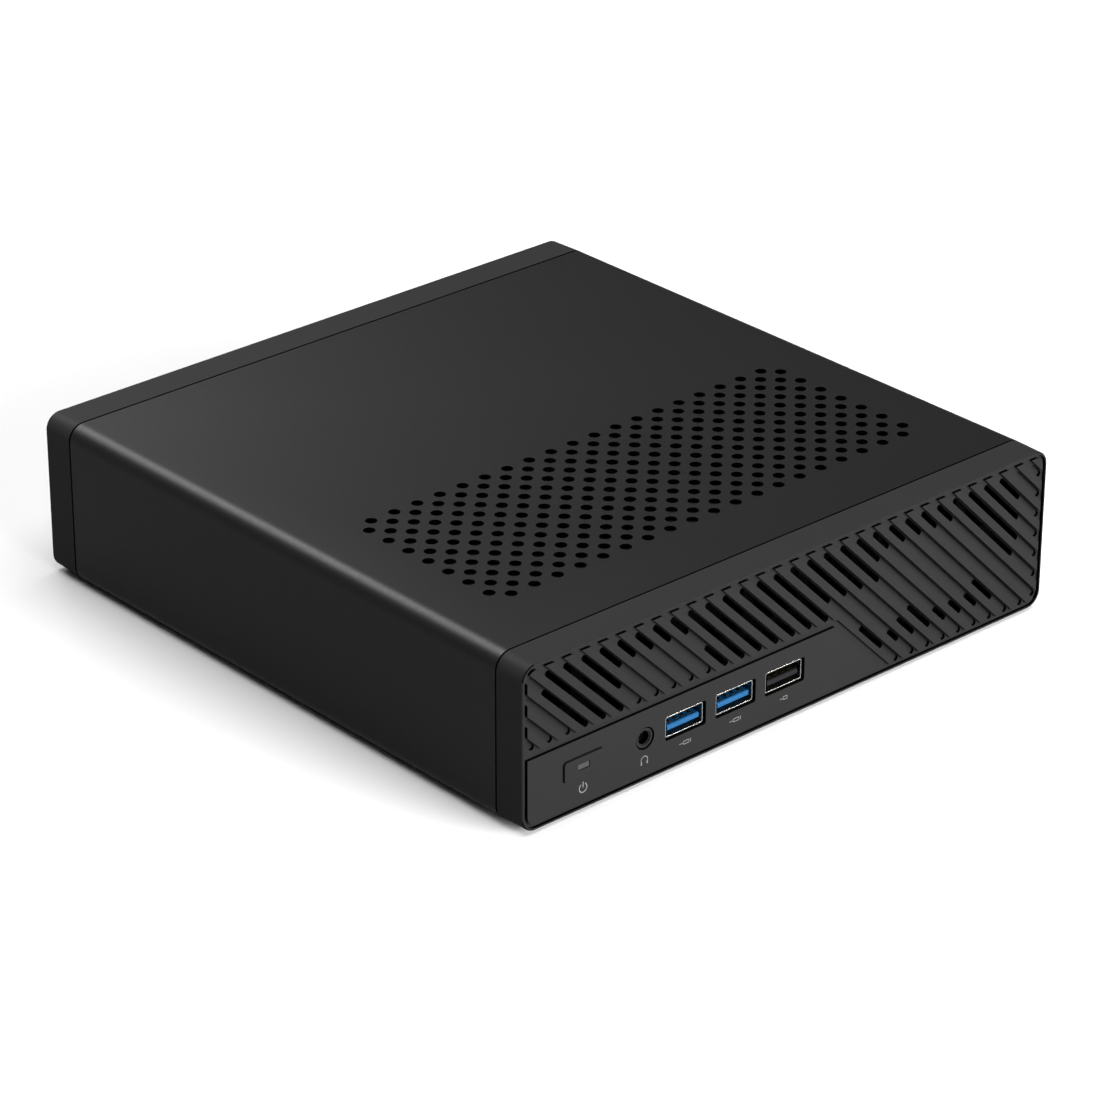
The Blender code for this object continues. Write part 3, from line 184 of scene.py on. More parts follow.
class FinishColours(bpy.types.PropertyGroup):
    """Base colours of the finishes."""

    paint: colour("Sleeve paint", "Powder coat of the sleeve", "#121212")
    plastic: colour("Bezel plastic", "Moulded plastic of the bezel and collar", "#1c1c1c")
    inlay: colour("Dark plastic", "Sockets, blower and connectors", "#08080a")
    blue: colour("Socket blue", "Tongues of the fast USB sockets", "#053c62")
    board: colour("Solder mask", "Lacquer of the circuit boards", "#040e0b")
    ink: colour("Printed symbols", "Ink of the pictograms", "#4c4c4c")


class StudioSettings(bpy.types.PropertyGroup):
    """Light and floor."""

    floor: colour("Floor", "Paint of the studio floor", "#f4f4f4")
    sky: FloatProperty(name="Sky", description="Brightness of the room", default=0.02, min=0.0)
    top_light: watts("Overhead light", "Watts of the box overhead", 30.0)
    back_light: watts("Back light", "Watts of the box behind", 15.0)
    front_light: watts("Front light", "Watts of the box in front", 18.0)
    low_light: watts("Low light", "Watts of the low box in front", 46.0)
    side_light: watts("Side light", "Watts of the box on the right", 4.0)
    edge_light: watts("Edge light", "Watts of the box for the long edge", 84.0)


# ------------------------------------------------------------------ outlines, in millimetres

def arc(centre, radius, start, sweep, steps):
    """Points on an arc, angles in degrees, both ends included."""
    angles = (math.radians(start + sweep * i / steps) for i in range(steps + 1))
    return [(centre[0] + radius * math.cos(a), centre[1] + radius * math.sin(a)) for a in angles]


def circle(centre, diameter, sides=32):
    return arc(centre, diameter / 2, 0, 360, sides)[:-1]


def rounded(low, high, radius, steps=6):
    """A rectangle with round corners, anticlockwise from its lower left corner."""
    if radius <= 0:
        return [(low[0], low[1]), (high[0], low[1]), (high[0], high[1]), (low[0], high[1])]
    x0, y0, x1, y1 = low[0] + radius, low[1] + radius, high[0] - radius, high[1] - radius
    corners = ((x0, y0, 180), (x1, y0, 270), (x1, y1, 0), (x0, y1, 90))
    return [p for x, y, start in corners for p in arc((x, y), radius, start, 90, steps)]


def centred(centre, size, radius=0.0, steps=6):
    """A rectangle, with round corners or square ones, round its centre."""
    (x, y), (wide, tall) = centre, size
    return rounded((x - wide / 2, y - tall / 2), (x + wide / 2, y + tall / 2), radius, steps)


def section(inset):
    """The body's rounded cross-section in X and Z, drawn in from its outer face."""
    radius = max(bpy.context.scene.mini_pc_shell.corner_radius / MM - inset, 0.4)
    return rounded((LEFT + inset, FLOOR + inset), (RIGHT - inset, TOP - inset), radius, 12)


def clip(points, normal, limit):
    """The part of a convex outline where normal . point is at most limit."""
    kept = []
    for i, point in enumerate(points):
        after = points[(i + 1) % len(points)]
        here = normal[0] * point[0] + normal[1] * point[1] - limit
        there = normal[0] * after[0] + normal[1] * after[1] - limit
        if here <= 0:
            kept.append(point)
        if here * there < 0:
            share = here / (here - there)
            kept.append(tuple(p + (q - p) * share for p, q in zip(point, after)))
    return kept


def slot_outline(start, end, width, steps=8):
    """A slot with round ends between two centres."""
    heading = math.degrees(math.atan2(end[1] - start[1], end[0] - start[0]))
    ends = ((end, heading - 90), (start, heading + 90))
    return [p for centre, turn in ends for p in arc(centre, width / 2, turn, 180, steps)]


def ring(centre, outer, inner, start, sweep):
    """A band along an arc."""
    return arc(centre, outer, start, sweep, 24) + arc(centre, inner, start, sweep, 24)[::-1]


# ------------------------------------------------------------------ meshes

def along(axis, u, v, w):
    """A point whose u and v lie in an outline's plane and w along its axis."""
    return {"X": (w, u, v), "Y": (u, w, v), "Z": (u, v, w)}[axis]


def prism(work, outline, low, high, axis="Y", holes=()):
    """Runs an outline, less its holes, along an axis."""
    loops = [[Vector((u, v, 0)) for u, v in loop] for loop in (outline, *holes)]
    flat = [point for loop in loops for point in loop]
    caps = tessellate_polygon(loops) if holes else [tuple(range(len(flat)))]
    ends = [[work.verts.new(along(axis, p.x, p.y, w)) for p in flat] for w in (low, high)]
    for cap in caps:
        for end in ends:
            work.faces.new([end[i] for i in cap])
    start = 0
    for loop in loops:
        for i in range(len(loop)):
            a, b = start + i, start + (i + 1) % len(loop)
            work.faces.new((ends[0][a], ends[0][b], ends[1][b], ends[1][a]))
        start += len(loop)


def loft(work, stations, closed=False):
    """Skin between like sections along Y: each station is an outline and its Y."""
    rings = [[work.verts.new((x, y, z)) for x, z in outline] for outline, y in stations]
    for near, far in list(zip(rings, rings[1:])) + ([(rings[-1], rings[0])] if closed else []):
        for i in range(len(near)):
            j = (i + 1) % len(near)
            work.faces.new((near[i], near[j], far[j], far[i]))
    if not closed:
        work.faces.new(rings[0])
        work.faces.new(rings[-1])


def lathe(work, profile, centre, axis="Z", sides=48):
    """Turns a profile of (radius, height), which starts and ends at radius 0, round an axis."""
    rows = []
    for radius, height in profile:
        points = [(0.0, 0.0)] if radius <= 0 else circle((0, 0), 2 * radius, sides)
        rows.append([work.verts.new(along(axis, centre[0] + u, centre[1] + v, height))
                     for u, v in points])
    for near, far in zip(rows, rows[1:]):
        for i in range(sides):
            j = (i + 1) % sides
            corners = [near[i % len(near)], near[j % len(near)],
                       far[j % len(far)], far[i % len(far)]]
            kept = [c for k, c in enumerate(corners) if c is not corners[k - 1]]
            if len(kept) > 2:
                work.faces.new(kept)


def block(work, low, high, bevel=0.0):
    """A block with softened edges."""
    made = bmesh.ops.create_cube(work, size=1.0)["verts"]
    size = [h - l for l, h in zip(low, high)]
    centre = [(l + h) / 2 for l, h in zip(low, high)]
    bmesh.ops.transform(work, verts=made,
                        matrix=Matrix.Translation(centre) @ Matrix.Diagonal((*size, 1.0)))
    if bevel:
        edges = list({e for v in made for e in v.link_edges})
        bmesh.ops.bevel(work, geom=edges, offset=min(bevel, min(size) * 0.45), segments=1,
                        affect="EDGES")


def slab(work, at, size, low, high, bevel=0.0):
    """A block from its centre and size in plan, and its lowest and highest Z."""
    (x, y), (wide, deep) = at, size
    block(work, (x - wide / 2, y - deep / 2, low), (x + wide / 2, y + deep / 2, high), bevel)


def row(count, pitch, centre=0.0):
    """Evenly spaced places round a centre."""
    return [centre + (i - (count - 1) / 2) * pitch for i in range(count)]


def new_object(name, draw):
    """An object from a function that draws closed solids in millimetres."""
    work = bmesh.new()
    draw(work)
    bmesh.ops.recalc_face_normals(work, faces=work.faces)
    mesh = bpy.data.meshes.new(name)
    work.to_mesh(mesh)
    work.free()
    mesh.transform(Matrix.Scale(MM, 4))
    made = bpy.data.objects.new(name, mesh)
    bpy.context.scene.collection.objects.link(made)
    return made


def settle(made):
    """Applies an object's modifiers."""
    bpy.context.view_layer.update()
    seen = made.evaluated_get(bpy.context.evaluated_depsgraph_get())
    mesh = bpy.data.meshes.new_from_object(seen)
    made.modifiers.clear()
    old, made.data = made.data, mesh
    bpy.data.meshes.remove(old)


def combine(made, draw, operation="DIFFERENCE"):
    """Cuts what draw makes from the object, or joins it on."""
    other = new_object("tool", draw)
    step = made.modifiers.new("tool", "BOOLEAN")
    step.operation, step.solver, step.object = operation, "MANIFOLD", other
    settle(made)
    bpy.data.objects.remove(other)


def extrusion(name, outline, low, high, axis="Y", holes=()):
    return new_object(name, lambda work: prism(work, outline, low, high, axis, holes))


def cut(made, outline, low, high, axis="Y", holes=()):
    combine(made, lambda work: prism(work, outline, low, high, axis, holes))


def join(made, outline, low, high):
    combine(made, lambda work: prism(work, outline, low, high), "UNION")


def soften(made, width, segments):
    """Rounds an object's edges by a width in millimetres and shades it smooth."""
    made.data.shade_smooth()
    made.data.set_sharp_from_angle(angle=SHARP)
    if width:
        step = made.modifiers.new("soften", "BEVEL")
        step.width, step.segments = width * MM, segments
        step.limit_method, step.angle_limit = "ANGLE", SHARP
        step.harden_normals = True
        settle(made)


def fit(made, material, replaces=(), slot=None, softness=0.0, body="chassis", segments=2):
    """Gives a piece its edges, its finish and the body that it moves with."""
    soften(made, softness, segments)
    made.data.materials.clear()
    made.data.materials.append(FINISH[material])
    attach(made, body)
    if replaces:
        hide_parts(*replaces)
    return made


def piece(name, draw, material, replaces=(), slot=None, softness=0.0, body="chassis"):
    return fit(new_object(name, draw), material, replaces, slot, softness, body)


def tint(made, material, test):
    """A second finish for the faces whose centre (mm) and normal pass a test."""
    made.data.materials.append(FINISH[material])
    slot = len(made.data.materials) - 1
    for face in made.data.polygons:
        if test(face.center / MM, face.normal):
            face.material_index = slot


def refinish(material, *nodes):
    """Gives CAD nodes whose shape is right their material."""
    for name in nodes:
        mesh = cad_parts[name].data
        mesh.materials.clear()
        mesh.materials.append(FINISH[material])


# ------------------------------------------------------------------ materials

FINISH = {}


def per(size):
    """A pattern's scale for features of a size in millimetres."""
    return 1 / (size * MM)


def node(tree, kind, settings=None, links=None):
    """Adds a node; settings are its properties or inputs, links feed inputs from outputs."""
    made = tree.nodes.new(kind)
    for key, value in (settings or {}).items():
        if isinstance(key, str) and hasattr(made, key):
            setattr(made, key, value)
        else:
            made.inputs[key].default_value = value
    for key, source in (links or {}).items():
        tree.links.new(source, made.inputs[key])
    return made


def surface(name, base, roughness, **sockets):
    """A Principled material with one colour, ready for its patterns."""
    made = bpy.data.materials.new(name)
    made.use_nodes = True
    shader = made.node_tree.nodes["Principled BSDF"]
    shader.inputs["Base Color"].default_value = (*base, 1.0)
    shader.inputs["Roughness"].default_value = roughness
    for key, value in sockets.items():
        shader.inputs[key.replace("_", " ")].default_value = value
    return made, made.node_tree, shader


def place(tree, stretch=(1.0, 1.0, 1.0)):
    """Object coordinates, stretched along an axis for brushed or drawn surfaces."""
    where = node(tree, "ShaderNodeTexCoord").outputs["Object"]
    return node(tree, "ShaderNodeMapping", {"Scale": stretch}, {"Vector": where}).outputs[0]


def grain(tree, shader, size, depth, where):
    """Raised grain of a size and depth in millimetres."""
    noise = node(tree, "ShaderNodeTexNoise", {"Scale": per(size), "Detail": 2.0},
                 {"Vector": where})
    bump = node(tree, "ShaderNodeBump", {"Strength": 1.0, "Distance": depth * MM},
                {"Height": noise.outputs[0]})
    tree.links.new(bump.outputs[0], shader.inputs["Normal"])


def mottle(tree, shader, size, dark, light, socket="Base Color", where=None):
    """Varies a colour or a roughness between two values over patches of a size in millimetres."""
    where = where or place(tree)
    noise = node(tree, "ShaderNodeTexNoise", {"Scale": per(size), "Detail": 3.0},
                 {"Vector": where})
    if socket == "Base Color":
        ends = {"data_type": "RGBA", 6: (*dark, 1.0), 7: (*light, 1.0)}
        out = node(tree, "ShaderNodeMix", ends, {0: noise.outputs[0]}).outputs[2]
    else:
        out = node(tree, "ShaderNodeMapRange", {"To Min": dark, "To Max": light},
                   {"Value": noise.outputs[0]}).outputs[0]
    tree.links.new(out, shader.inputs[socket])


def shade(base, factor):
    return [c * factor for c in base]


def toned(hex_colour):
    """A colour kept low for the strong light that a near-black machine asks for."""
    return shade(linear(hex_colour), 0.3)


def finish(name, base, roughness, grained, patches=None, gloss=None, stretch=(1, 1, 1), **sockets):
    """A finish: colour, grain (size, depth), and mottles (size, low, high) of colour and gloss.

    A stretch draws the grain and the gloss out along an axis, as brushing or drawing does.
    """
    FINISH[name], tree, shader = surface(name, base, roughness, **sockets)
    where = place(tree, stretch)
    grain(tree, shader, *grained, where)
    if patches:
        mottle(tree, shader, *patches)
    if gloss:
        mottle(tree, shader, *gloss, "Roughness", where)
    return tree, shader


def around(size, base, low, high):
    """Patches of a size that vary a colour between two factors."""
    return size, shade(base, low), shade(base, high)


def between(size, dark, light):
    """Patches of a size between two toned colours."""
    return size, toned(dark), toned(light)


def make_finishes():
    """Every finish of the machine, by its common name."""
    colours = bpy.context.scene.mini_pc_colours

    # Powder coat on steel: a fine dry grain that breaks up the reflections.
    base = list(colours.paint)
    finish("powder_coat", base, 0.42, (0.45, 0.012), around(60, base, 0.92, 1.06),
           (1.2, 0.38, 0.48), Specular_IOR_Level=0.045)

    # ABS from a spark-eroded mould: even, matt, with a grain a little finer than the paint's.
    base = list(colours.plastic)
    finish("moulded_abs", base, 0.48, (0.35, 0.01), around(25, base, 0.95, 1.05),
           (0.8, 0.44, 0.53), Specular_IOR_Level=0.01)

    # The same plastic painted near black: painted shade for recesses, relief walls, seams, bores
    # and vent walls, where the lamps leave too much light.
    dark = shade(base, 0.12)
    finish("painted_shade_abs", dark, 0.7, (0.35, 0.02), around(5, dark, 0.8, 1.2),
           Specular_IOR_Level=0.01)

    # The floor of a groove: a coarser texture than the ribs, and a little darker as painted shade
    # that falls in the groove.
    floor = shade(base, 0.95)
    finish("groove_floor_painted_shade", floor, 0.6, (0.35, 0.02), around(8, floor, 0.9, 1.1),
           Specular_IOR_Level=0.02)

    # Glass-filled nylon: near black, with faint pale flecks of fibre.
    base = list(colours.inlay)
    finish("filled_nylon", base, 0.6, (0.5, 0.015), around(0.6, base, 0.8, 1.5),
           Specular_IOR_Level=0.1)

    # Blue liquid-crystal polymer of the fast sockets: smooth with slight flow marks.
    base = list(colours.blue)
    finish("blue_polymer", base, 0.4, (1.2, 0.01), around(3, base, 0.85, 1.15),
           stretch=(1, 0.2, 1), Specular_IOR_Level=0.15)

    # Clear polycarbonate over a diffuser: pale grey while it is unlit.
    finish("light_diffuser", toned("#262627"), 0.35, (0.3, 0.006),
           between(1.5, "#222223", "#2b2b2c"), Coat_Weight=0.15, Coat_Roughness=0.08)

    # Nickel-plated steel: bright, with fine drawing lines along the shell.
    finish("nickel_steel", linear("#9c9a96"), 0.22, (0.12, 0.004), None, (0.5, 0.16, 0.3),
           (1, 0.04, 1), Metallic=1.0)

    # Gold flash on contact springs: warm and slightly uneven.
    finish("gold_contact", toned("#d8ab55"), 0.25, (0.2, 0.003), None, (1.0, 0.2, 0.34),
           Metallic=1.0)

    # Zinc-coated steel sheet: the crystals of the coating show as patches a few millimetres wide.
    tree, shader = finish("zinc_sheet", toned("#a9abad"), 0.36, (1.5, 0.006), None,
                          (3, 0.3, 0.44), Metallic=1.0)
    cells = node(tree, "ShaderNodeTexVoronoi", {"Scale": per(4.5)}, {"Vector": place(tree)})
    tone = node(tree, "ShaderNodeMix", {
        "data_type": "RGBA", 6: (*toned("#95979a"), 1.0), 7: (*toned("#b7b9bb"), 1.0)},
        {0: cells.outputs[1]})
    tree.links.new(tone.outputs[2], shader.inputs["Base Color"])

    # The front shield painted near black: painted shade, so that nothing shows through the slots.
    finish("shield_painted_shade", toned("#0a0a0b"), 0.7, (0.8, 0.008), between(6, "#080808", "#0d0d0d"),
           Specular_IOR_Level=0.05)

    # Wet paint on the rear panel's sheet: satin, with a slight orange peel.
    finish("rear_paint", toned("#232324"), 0.42, (0.9, 0.012), between(20, "#202021", "#272728"),
           (2, 0.38, 0.48))

    # Rubber: fully matt, with a dusty bloom in patches.
    finish("rubber", toned("#161616"), 0.85, (0.6, 0.03), between(4, "#121212", "#1e1e1e"),
           Specular_IOR_Level=0.3)

    # Extruded aluminium: fine lines along the fins.
    finish("fin_aluminium", toned("#c9cbcd"), 0.34, (0.3, 0.006), None, (1.0, 0.27, 0.42),
           (1, 0.03, 0.3), Metallic=1.0)

    # Lacquered circuit board: copper tracks lift the lacquer, and vias show as small rings.
    base = list(colours.board)
    FINISH["solder_mask"], tree, shader = surface("solder_mask", base, 0.3, Coat_Weight=0.3)
    where = place(tree)
    tracks = node(tree, "ShaderNodeTexBrick", {
        "Scale": per(8.0), "Mortar Size": 0.03, "Mortar Smooth": 0.0, "Bias": 0.0,
        "Brick Width": 0.9, "Row Height": 0.12, "Color1": (0, 0, 0, 1), "Color2": (0, 0, 0, 1),
        "Mortar": (1, 1, 1, 1)}, {"Vector": where})
    vias = node(tree, "ShaderNodeTexVoronoi", {"Scale": per(3.2)}, {"Vector": where})
    dots = node(tree, "ShaderNodeMath", {"operation": "LESS_THAN", 1: 0.1}, {0: vias.outputs[0]})
    copper = node(tree, "ShaderNodeMath", {"operation": "MAXIMUM"},
                  {0: tracks.outputs[0], 1: dots.outputs[0]})
    tone = node(tree, "ShaderNodeMix", {
        "data_type": "RGBA", 6: (*base, 1.0), 7: (*shade(base, 2.2), 1.0)},
        {0: copper.outputs[0]})
    tree.links.new(tone.outputs[2], shader.inputs["Base Color"])
    bump = node(tree, "ShaderNodeBump", {"Distance": 0.035 * MM}, {"Height": copper.outputs[0]})
    tree.links.new(bump.outputs[0], shader.inputs["Normal"])

    # Moulding compound of a chip: dull black with a fine speckle.
    finish("chip_compound", toned("#1a1a1b"), 0.55, (0.15, 0.006),
           between(0.4, "#161617", "#212122"))

    # Pressed ferrite of the chokes: grey with a stony grain.
    finish("ferrite", toned("#4a4a4c"), 0.6, (0.3, 0.03), between(0.8, "#424244", "#57575a"))

    # Drawn aluminium can or tinned pin: bright and a little uneven.
    finish("tinned_metal", toned("#c4c6c8"), 0.3, (0.5, 0.006), None, (1.0, 0.24, 0.38),
           Metallic=1.0)

    # Ceramic capacitor: tan and matt.
    finish("ceramic", toned("#6a5c48"), 0.6, (0.2, 0.01), between(2.0, "#5c4f3c", "#78684f"))

    # Screen-printed ink: pale grey, slightly broken by the grain under it.
    base = list(colours.ink)
    finish("printed_ink", base, 0.6, (0.3, 0.008), around(0.3, base, 0.85, 1.1))


# ------------------------------------------------------------------ housing

def draw_sleeve():
    sizes = bpy.context.scene.mini_pc_shell
    wall = sizes.sleeve_wall / MM
    front, rear = SLEEVE[0].y + SLEEVE_SHORT, SLEEVE[1].y - SLEEVE_SHORT
    made = extrusion("sleeve_shell", section(0.0), front, rear, holes=[section(wall)])
    pitch_x, pitch_y = sizes.vent_pitch_x / MM, sizes.vent_pitch_y / MM
    most = int((WIDTH - 2 * sizes.vent_margin / MM) / pitch_x) + 1

    def vents(work):
        for line in range(sizes.vent_rows):
            y = FRONT + sizes.vent_first / MM + line * pitch_y
            for x in row(most if line % 2 else most - 1, pitch_x, VENT_SHIFT):
                outline = circle((x, y), sizes.vent_diameter / MM, 24)
                prism(work, outline, TOP - 2 * wall, TOP + wall, "Z")
        for name in FEET:
            prism(work, circle(plan(name), FOOT_SEAT, 64), FLOOR - wall, FLOOR + 0.6, "Z")

    combine(made, vents)
    fit(made, "powder_coat", ["sleeve"], "sleeve_metal", 0.1, body="housing")
    # Painted shade on the sleeve's ends at the seams and on the walls of the vents.
    tint(made, "painted_shade_abs", lambda at, normal: not front + 0.12 < at.y < rear - 0.12 or (
        abs(normal.z) < 0.9 and at.z > TOP - wall and abs(at.x) < RIGHT - 6))


def draw_feet():
    for name in FEET:
        top = cad(name)[1].z
        profile = [(0, 0.18), (3.8, 0.18), (4.1, 0), (6.5, 0), (6.85, 0.1), (7.0, 0.4),
                   (7.0, top), (0, top)]
        piece(name + "_pad", lambda work: lathe(work, profile, plan(name), "Z", 64),
              "rubber", [name], "foot_rubber", body="housing")


def draw_rear_collar():
    seam = REAR - REAR_BAND
    opening = BAND_BORE + GAP + 0.4
    stations = ((TONGUE, seam - 3.0), (TONGUE, seam), (0.0, seam), (TAPER, REAR - TAPER),
                (2 * TAPER, REAR), (opening, REAR), (opening, REAR - LIP),
                (BAND_BORE, REAR - LIP), (BAND_BORE, seam - 3.0))
    made = piece("rear_collar_band",
                 lambda work: loft(work, [(section(i), y) for i, y in stations], True),
                 "moulded_abs", ["rear_collar"], "band_plastic", 0.1, body="housing")
    # Painted shade in the seam and on the faces that look forward into the body.
    tint(made, "painted_shade_abs",
         lambda at, normal: at.y < seam + SEAM_SHADE or normal.y < -0.9)


# ------------------------------------------------------------------ front

def groove_line(index):
    """A groove's centre line runs at 45 degrees: from-left minus below-top is this."""
    return GROOVE_FIRST + index * bpy.context.scene.mini_pc_shell.rib_pitch / MM


def on_line(line, below_top):
    return LEFT + line + below_top, TOP - below_top


def groove_count():
    pitch = bpy.context.scene.mini_pc_shell.rib_pitch / MM
    return int((WIDTH - GROOVE_FIRST - GROOVE_LAST) / pitch) + 1


def groove_ends(index):
    """Depths below the top where a groove's two round ends are centred."""
    line = groove_line(index)
    base = SHORT_BASE if index < FIRST_LONG else LONG_BASE
    return max(GROOVE_TOP, GROOVE_SIDE - line), min(HEIGHT - base, WIDTH - GROOVE_SIDE - line)


def relief_outlines():
    """The slanted ribs and the socket pad that stand on the bezel's base."""
    field = rounded((LEFT + FIELD, FLOOR + FIELD), (RIGHT - FIELD, TOP - FIELD), 2.8, 8)
    slant = (math.sqrt(0.5), math.sqrt(0.5))
    corner = LEFT + TOP

    def band(outline, start, end):
        after = clip(outline, (-slant[0], -slant[1]), -(corner + start) * slant[0])
        return clip(after, slant, (corner + end) * slant[0])

    upper = clip(field, (0, -1), -(FLOOR + UPPER_BASE))
    last = groove_count()
    ribs = []
    for index in range(1, last + 1):
        start = groove_line(index - 1) + CHANNEL_HALF
        end = groove_line(index) - CHANNEL_HALF if index < last else WIDTH
        if index < FIRST_LONG:
            ribs.append(band(upper, start, end))
        else:
            ribs.append(band(field, FIRST_LONG_RIB if index == FIRST_LONG else start, end))
    pad = clip(clip(field, (0, 1), FLOOR + PAD_TOP), slant, (corner + PAD_RIGHT) * slant[0])
    return [rib for rib in ribs if len(rib) > 2] + [pad]


def corner_strip():
    """The strip that brings the rib above the pad's corner up to its groove."""
    edge = groove_line(FIRST_LONG - 1) + CHANNEL_HALF
    low, high = FLOOR + UPPER_BASE, TOP - FIELD
    near, far = (LEFT + TOP + edge - z for z in (low, high))
    return [(near, low), (near + 1.5, low), (far + 1.5, high), (far, high)]


def open_runs():
    for first, last, start_at, end_at in OPEN_RUNS:
        for index in range(first, min(last, groove_count() - 1) + 1):
            start, end = groove_ends(index)
            line = groove_line(index)
            yield slot_outline(on_line(line, max(start, start_at or start)),
                               on_line(line, min(end, end_at or end)), SLOT_WIDTH)


def draw_front_bezel():
    sizes = bpy.context.scene.mini_pc_shell
    rim, relief = sizes.rim / MM, sizes.relief / MM
    base, back, seam = FRONT + relief, FRONT + PANEL_BACK, FRONT + FRONT_BAND
    floor = base + sizes.groove_depth / MM
    stations = ((rim, base), (rim, FRONT), (2 * TAPER, FRONT), (TAPER, FRONT + TAPER), (0.0, seam),
                (TONGUE, seam), (TONGUE, seam + 3), (BAND_BORE, seam + 3), (BAND_BORE, back))
    made = new_object("front_bezel_moulding",
                      lambda work: loft(work, [(section(i), y) for i, y in stations]))

    def relief_solids(work):
        for outline in relief_outlines():
            prism(work, outline, FRONT, base + RIB_ROOT)

    def grooves(work):
        for index in range(groove_count()):
            ends = [on_line(groove_line(index), end) for end in groove_ends(index)]
            prism(work, slot_outline(*ends, sizes.groove_width / MM), FRONT - 0.1, floor)

    def openings(work):
        for outline in open_runs():
            prism(work, outline, FRONT + relief / 2, back + 1)
        holes = [centred(face_on("power_light"), (13.34, 6.04), 1.02),
                 circle(face_on("audio_jack"), 6.3, 64)]
        holes += [centred(face_on("usb_shell_" + name), (14.2, 6.9), 0.7) for name in FRONT_USB]
        for outline in holes:
            prism(work, outline, FRONT - 1, back + 1)

    combine(made, relief_solids, "UNION")
    join(made, corner_strip(), FRONT, base + RIB_ROOT)
    combine(made, grooves)
    combine(made, openings)
    fit(made, "moulded_abs", ["front_bezel"], "band_plastic",
        sizes.edge_softness / MM)
    # Painted shade on the floors of the grooves.
    tint(made, "groove_floor_painted_shade",
         lambda at, normal: abs(at.y - floor) < 0.02 and normal.y < -0.9)
    # Painted shade behind the seam, on the faces that look back, and on the side walls of the ribs,
    # grooves, slots and openings.
    tint(made, "painted_shade_abs", lambda at, normal: at.y > seam - SEAM_SHADE or (
        normal.y > 0.9) or (
        FRONT + 0.04 < at.y < back + 0.1 and abs(normal.y) < 0.85 and abs(at.x) < RIGHT - 0.5
        and FLOOR + 0.5 < at.z < TOP - 0.5))


def draw_power_button():
    low, high = cad("power_button")
    at = face_on("power_light")
    made = extrusion("power_button_cap", centred(at, (12.9, 5.6), 0.8), low.y, high.y - 0.5)
    join(made, centred(at, (14.9, 7.6), 1.8), high.y - 1, high.y)
    cut(made, centred(at, (4.0, 1.7), 0.15), low.y - 1, low.y + 1.2)
    fit(made, "moulded_abs", ["power_button"], "band_plastic", 0.22,
        body="power_button", segments=3)
    lens = extrusion("power_lens", centred(at, (3.86, 1.56), 0.12), low.y + 0.22, low.y + 1.1)
    fit(lens, "light_diffuser", ["power_light"], "light_window", 0.06, body="power_button")


def draw_symbols():
    """Pictograms printed under the controls: power, headphones, and a plug for each USB socket."""
    line = TOP - 41.0
    thick = (FRONT - 0.03, FRONT + 0.05)

    def symbols(work):
        x = face_on("power_light")[0] + 0.15
        prism(work, ring((x, line), 1.42, 1.12, 122, 296), *thick)
        prism(work, centred((x, line + 0.9), (0.3, 1.7), 0.14, 3), *thick)
        x, z = face_on("audio_jack")[0] - 0.2, line + 0.05
        prism(work, ring((x, z), 1.25, 1.03, -20, 220), *thick)
        for side in (-1, 1):
            prism(work, centred((x + side, z - 0.75), (0.42, 1.0), 0.2, 3), *thick)
        for name, wide in zip(FRONT_USB, (4.4, 4.4, 3.2)):
            x = face_on("usb_shell_" + name)[0] - 0.1
            prism(work, centred((x + 0.35, line), (wide * 0.5, 1.05), 0.25, 3), *thick,
                  holes=[centred((x + 0.35, line), (wide * 0.5 - 0.4, 0.65), 0.1, 3)])
            prism(work, centred((x - wide * 0.34, line), (wide * 0.26, 0.2)), *thick)
            if wide > 4:
                prism(work, centred((x + wide * 0.43, line), (0.2, 1.05)), *thick)

    piece("front_symbols", symbols, "printed_ink")


# ------------------------------------------------------------------ sockets

def usb_parts(name, facing):
    """A type A shell with its latching springs, the polymer tongue and its contacts.

    facing is -1 for a mouth towards the front and 1 towards the rear.
    """
    low, high = cad("usb_shell_" + name)
    mouth = low.y if facing < 0 else high.y
    x, z = face_on("usb_shell_" + name)

    def run(near, far):
        """Two depths behind the mouth, as a low and a high Y."""
        return sorted((mouth - facing * near, mouth - facing * far))

    shell = extrusion(f"usb_{name}_shell", centred((x, z), (13.2, 5.9), 0.7), low.y, high.y)
    cut(shell, centred((x, z), (12.6, 5.3), 0.42), *run(-1, 16.6))

    def springs(work):
        for side, dx in product((-1, 1), (-3.4, 3.4)):
            wall = z + side * 2.8
            profile = [(mouth - facing * y, wall - side * d)
                       for y, d in ((1.4, 0), (2.6, 0.45), (3.6, 0.5), (7.5, 0.1), (7.5, 0))]
            prism(work, profile, x + dx - 0.9, x + dx + 0.9, "X")

    combine(shell, springs, "UNION")
    fit(shell, "nickel_steel", ["usb_shell_" + name], "bright_steel", 0.06)

    fast = name != "front_3"
    drop = z - 0.65
    tip, bend, step, end = (mouth - facing * y for y in (0.35, 0.7, 12.3, 16.2))
    left, right = (corner.x for corner in cad("usb_tongue_" + name))
    profile = [(tip, drop - 0.5), (bend, drop - 0.85), (step, drop - 0.85), (step, z - 2.3),
               (end, z - 2.3), (end, z + 2.3), (step, z + 2.3), (step, drop + 0.85),
               (bend, drop + 0.85), (tip, drop + 0.5)]
    polymer, slot = ("blue_polymer", "blue_plastic") if fast else ("filled_nylon", "dark_plastic")
    tongue = extrusion(f"usb_{name}_tongue", profile, left, right, "X")
    fit(tongue, polymer, ["usb_tongue_" + name], slot, 0.08)

    def contacts(work):
        for count, pitch, wide, ends, top, bevel in (
                (4, 2.4, 1.0, (1.6, 9.5), 0.93, 0.04),
                (5 if fast else 0, 2.0, 0.6, (0.75, 1.3), 0.9, 0.03)):
            near, far = run(*ends)
            for cx in row(count, pitch, x):
                slab(work, (cx, (near + far) / 2), (wide, far - near),
                     drop + 0.8, drop + top, bevel)

    piece(f"usb_{name}_contacts", contacts, "gold_contact")


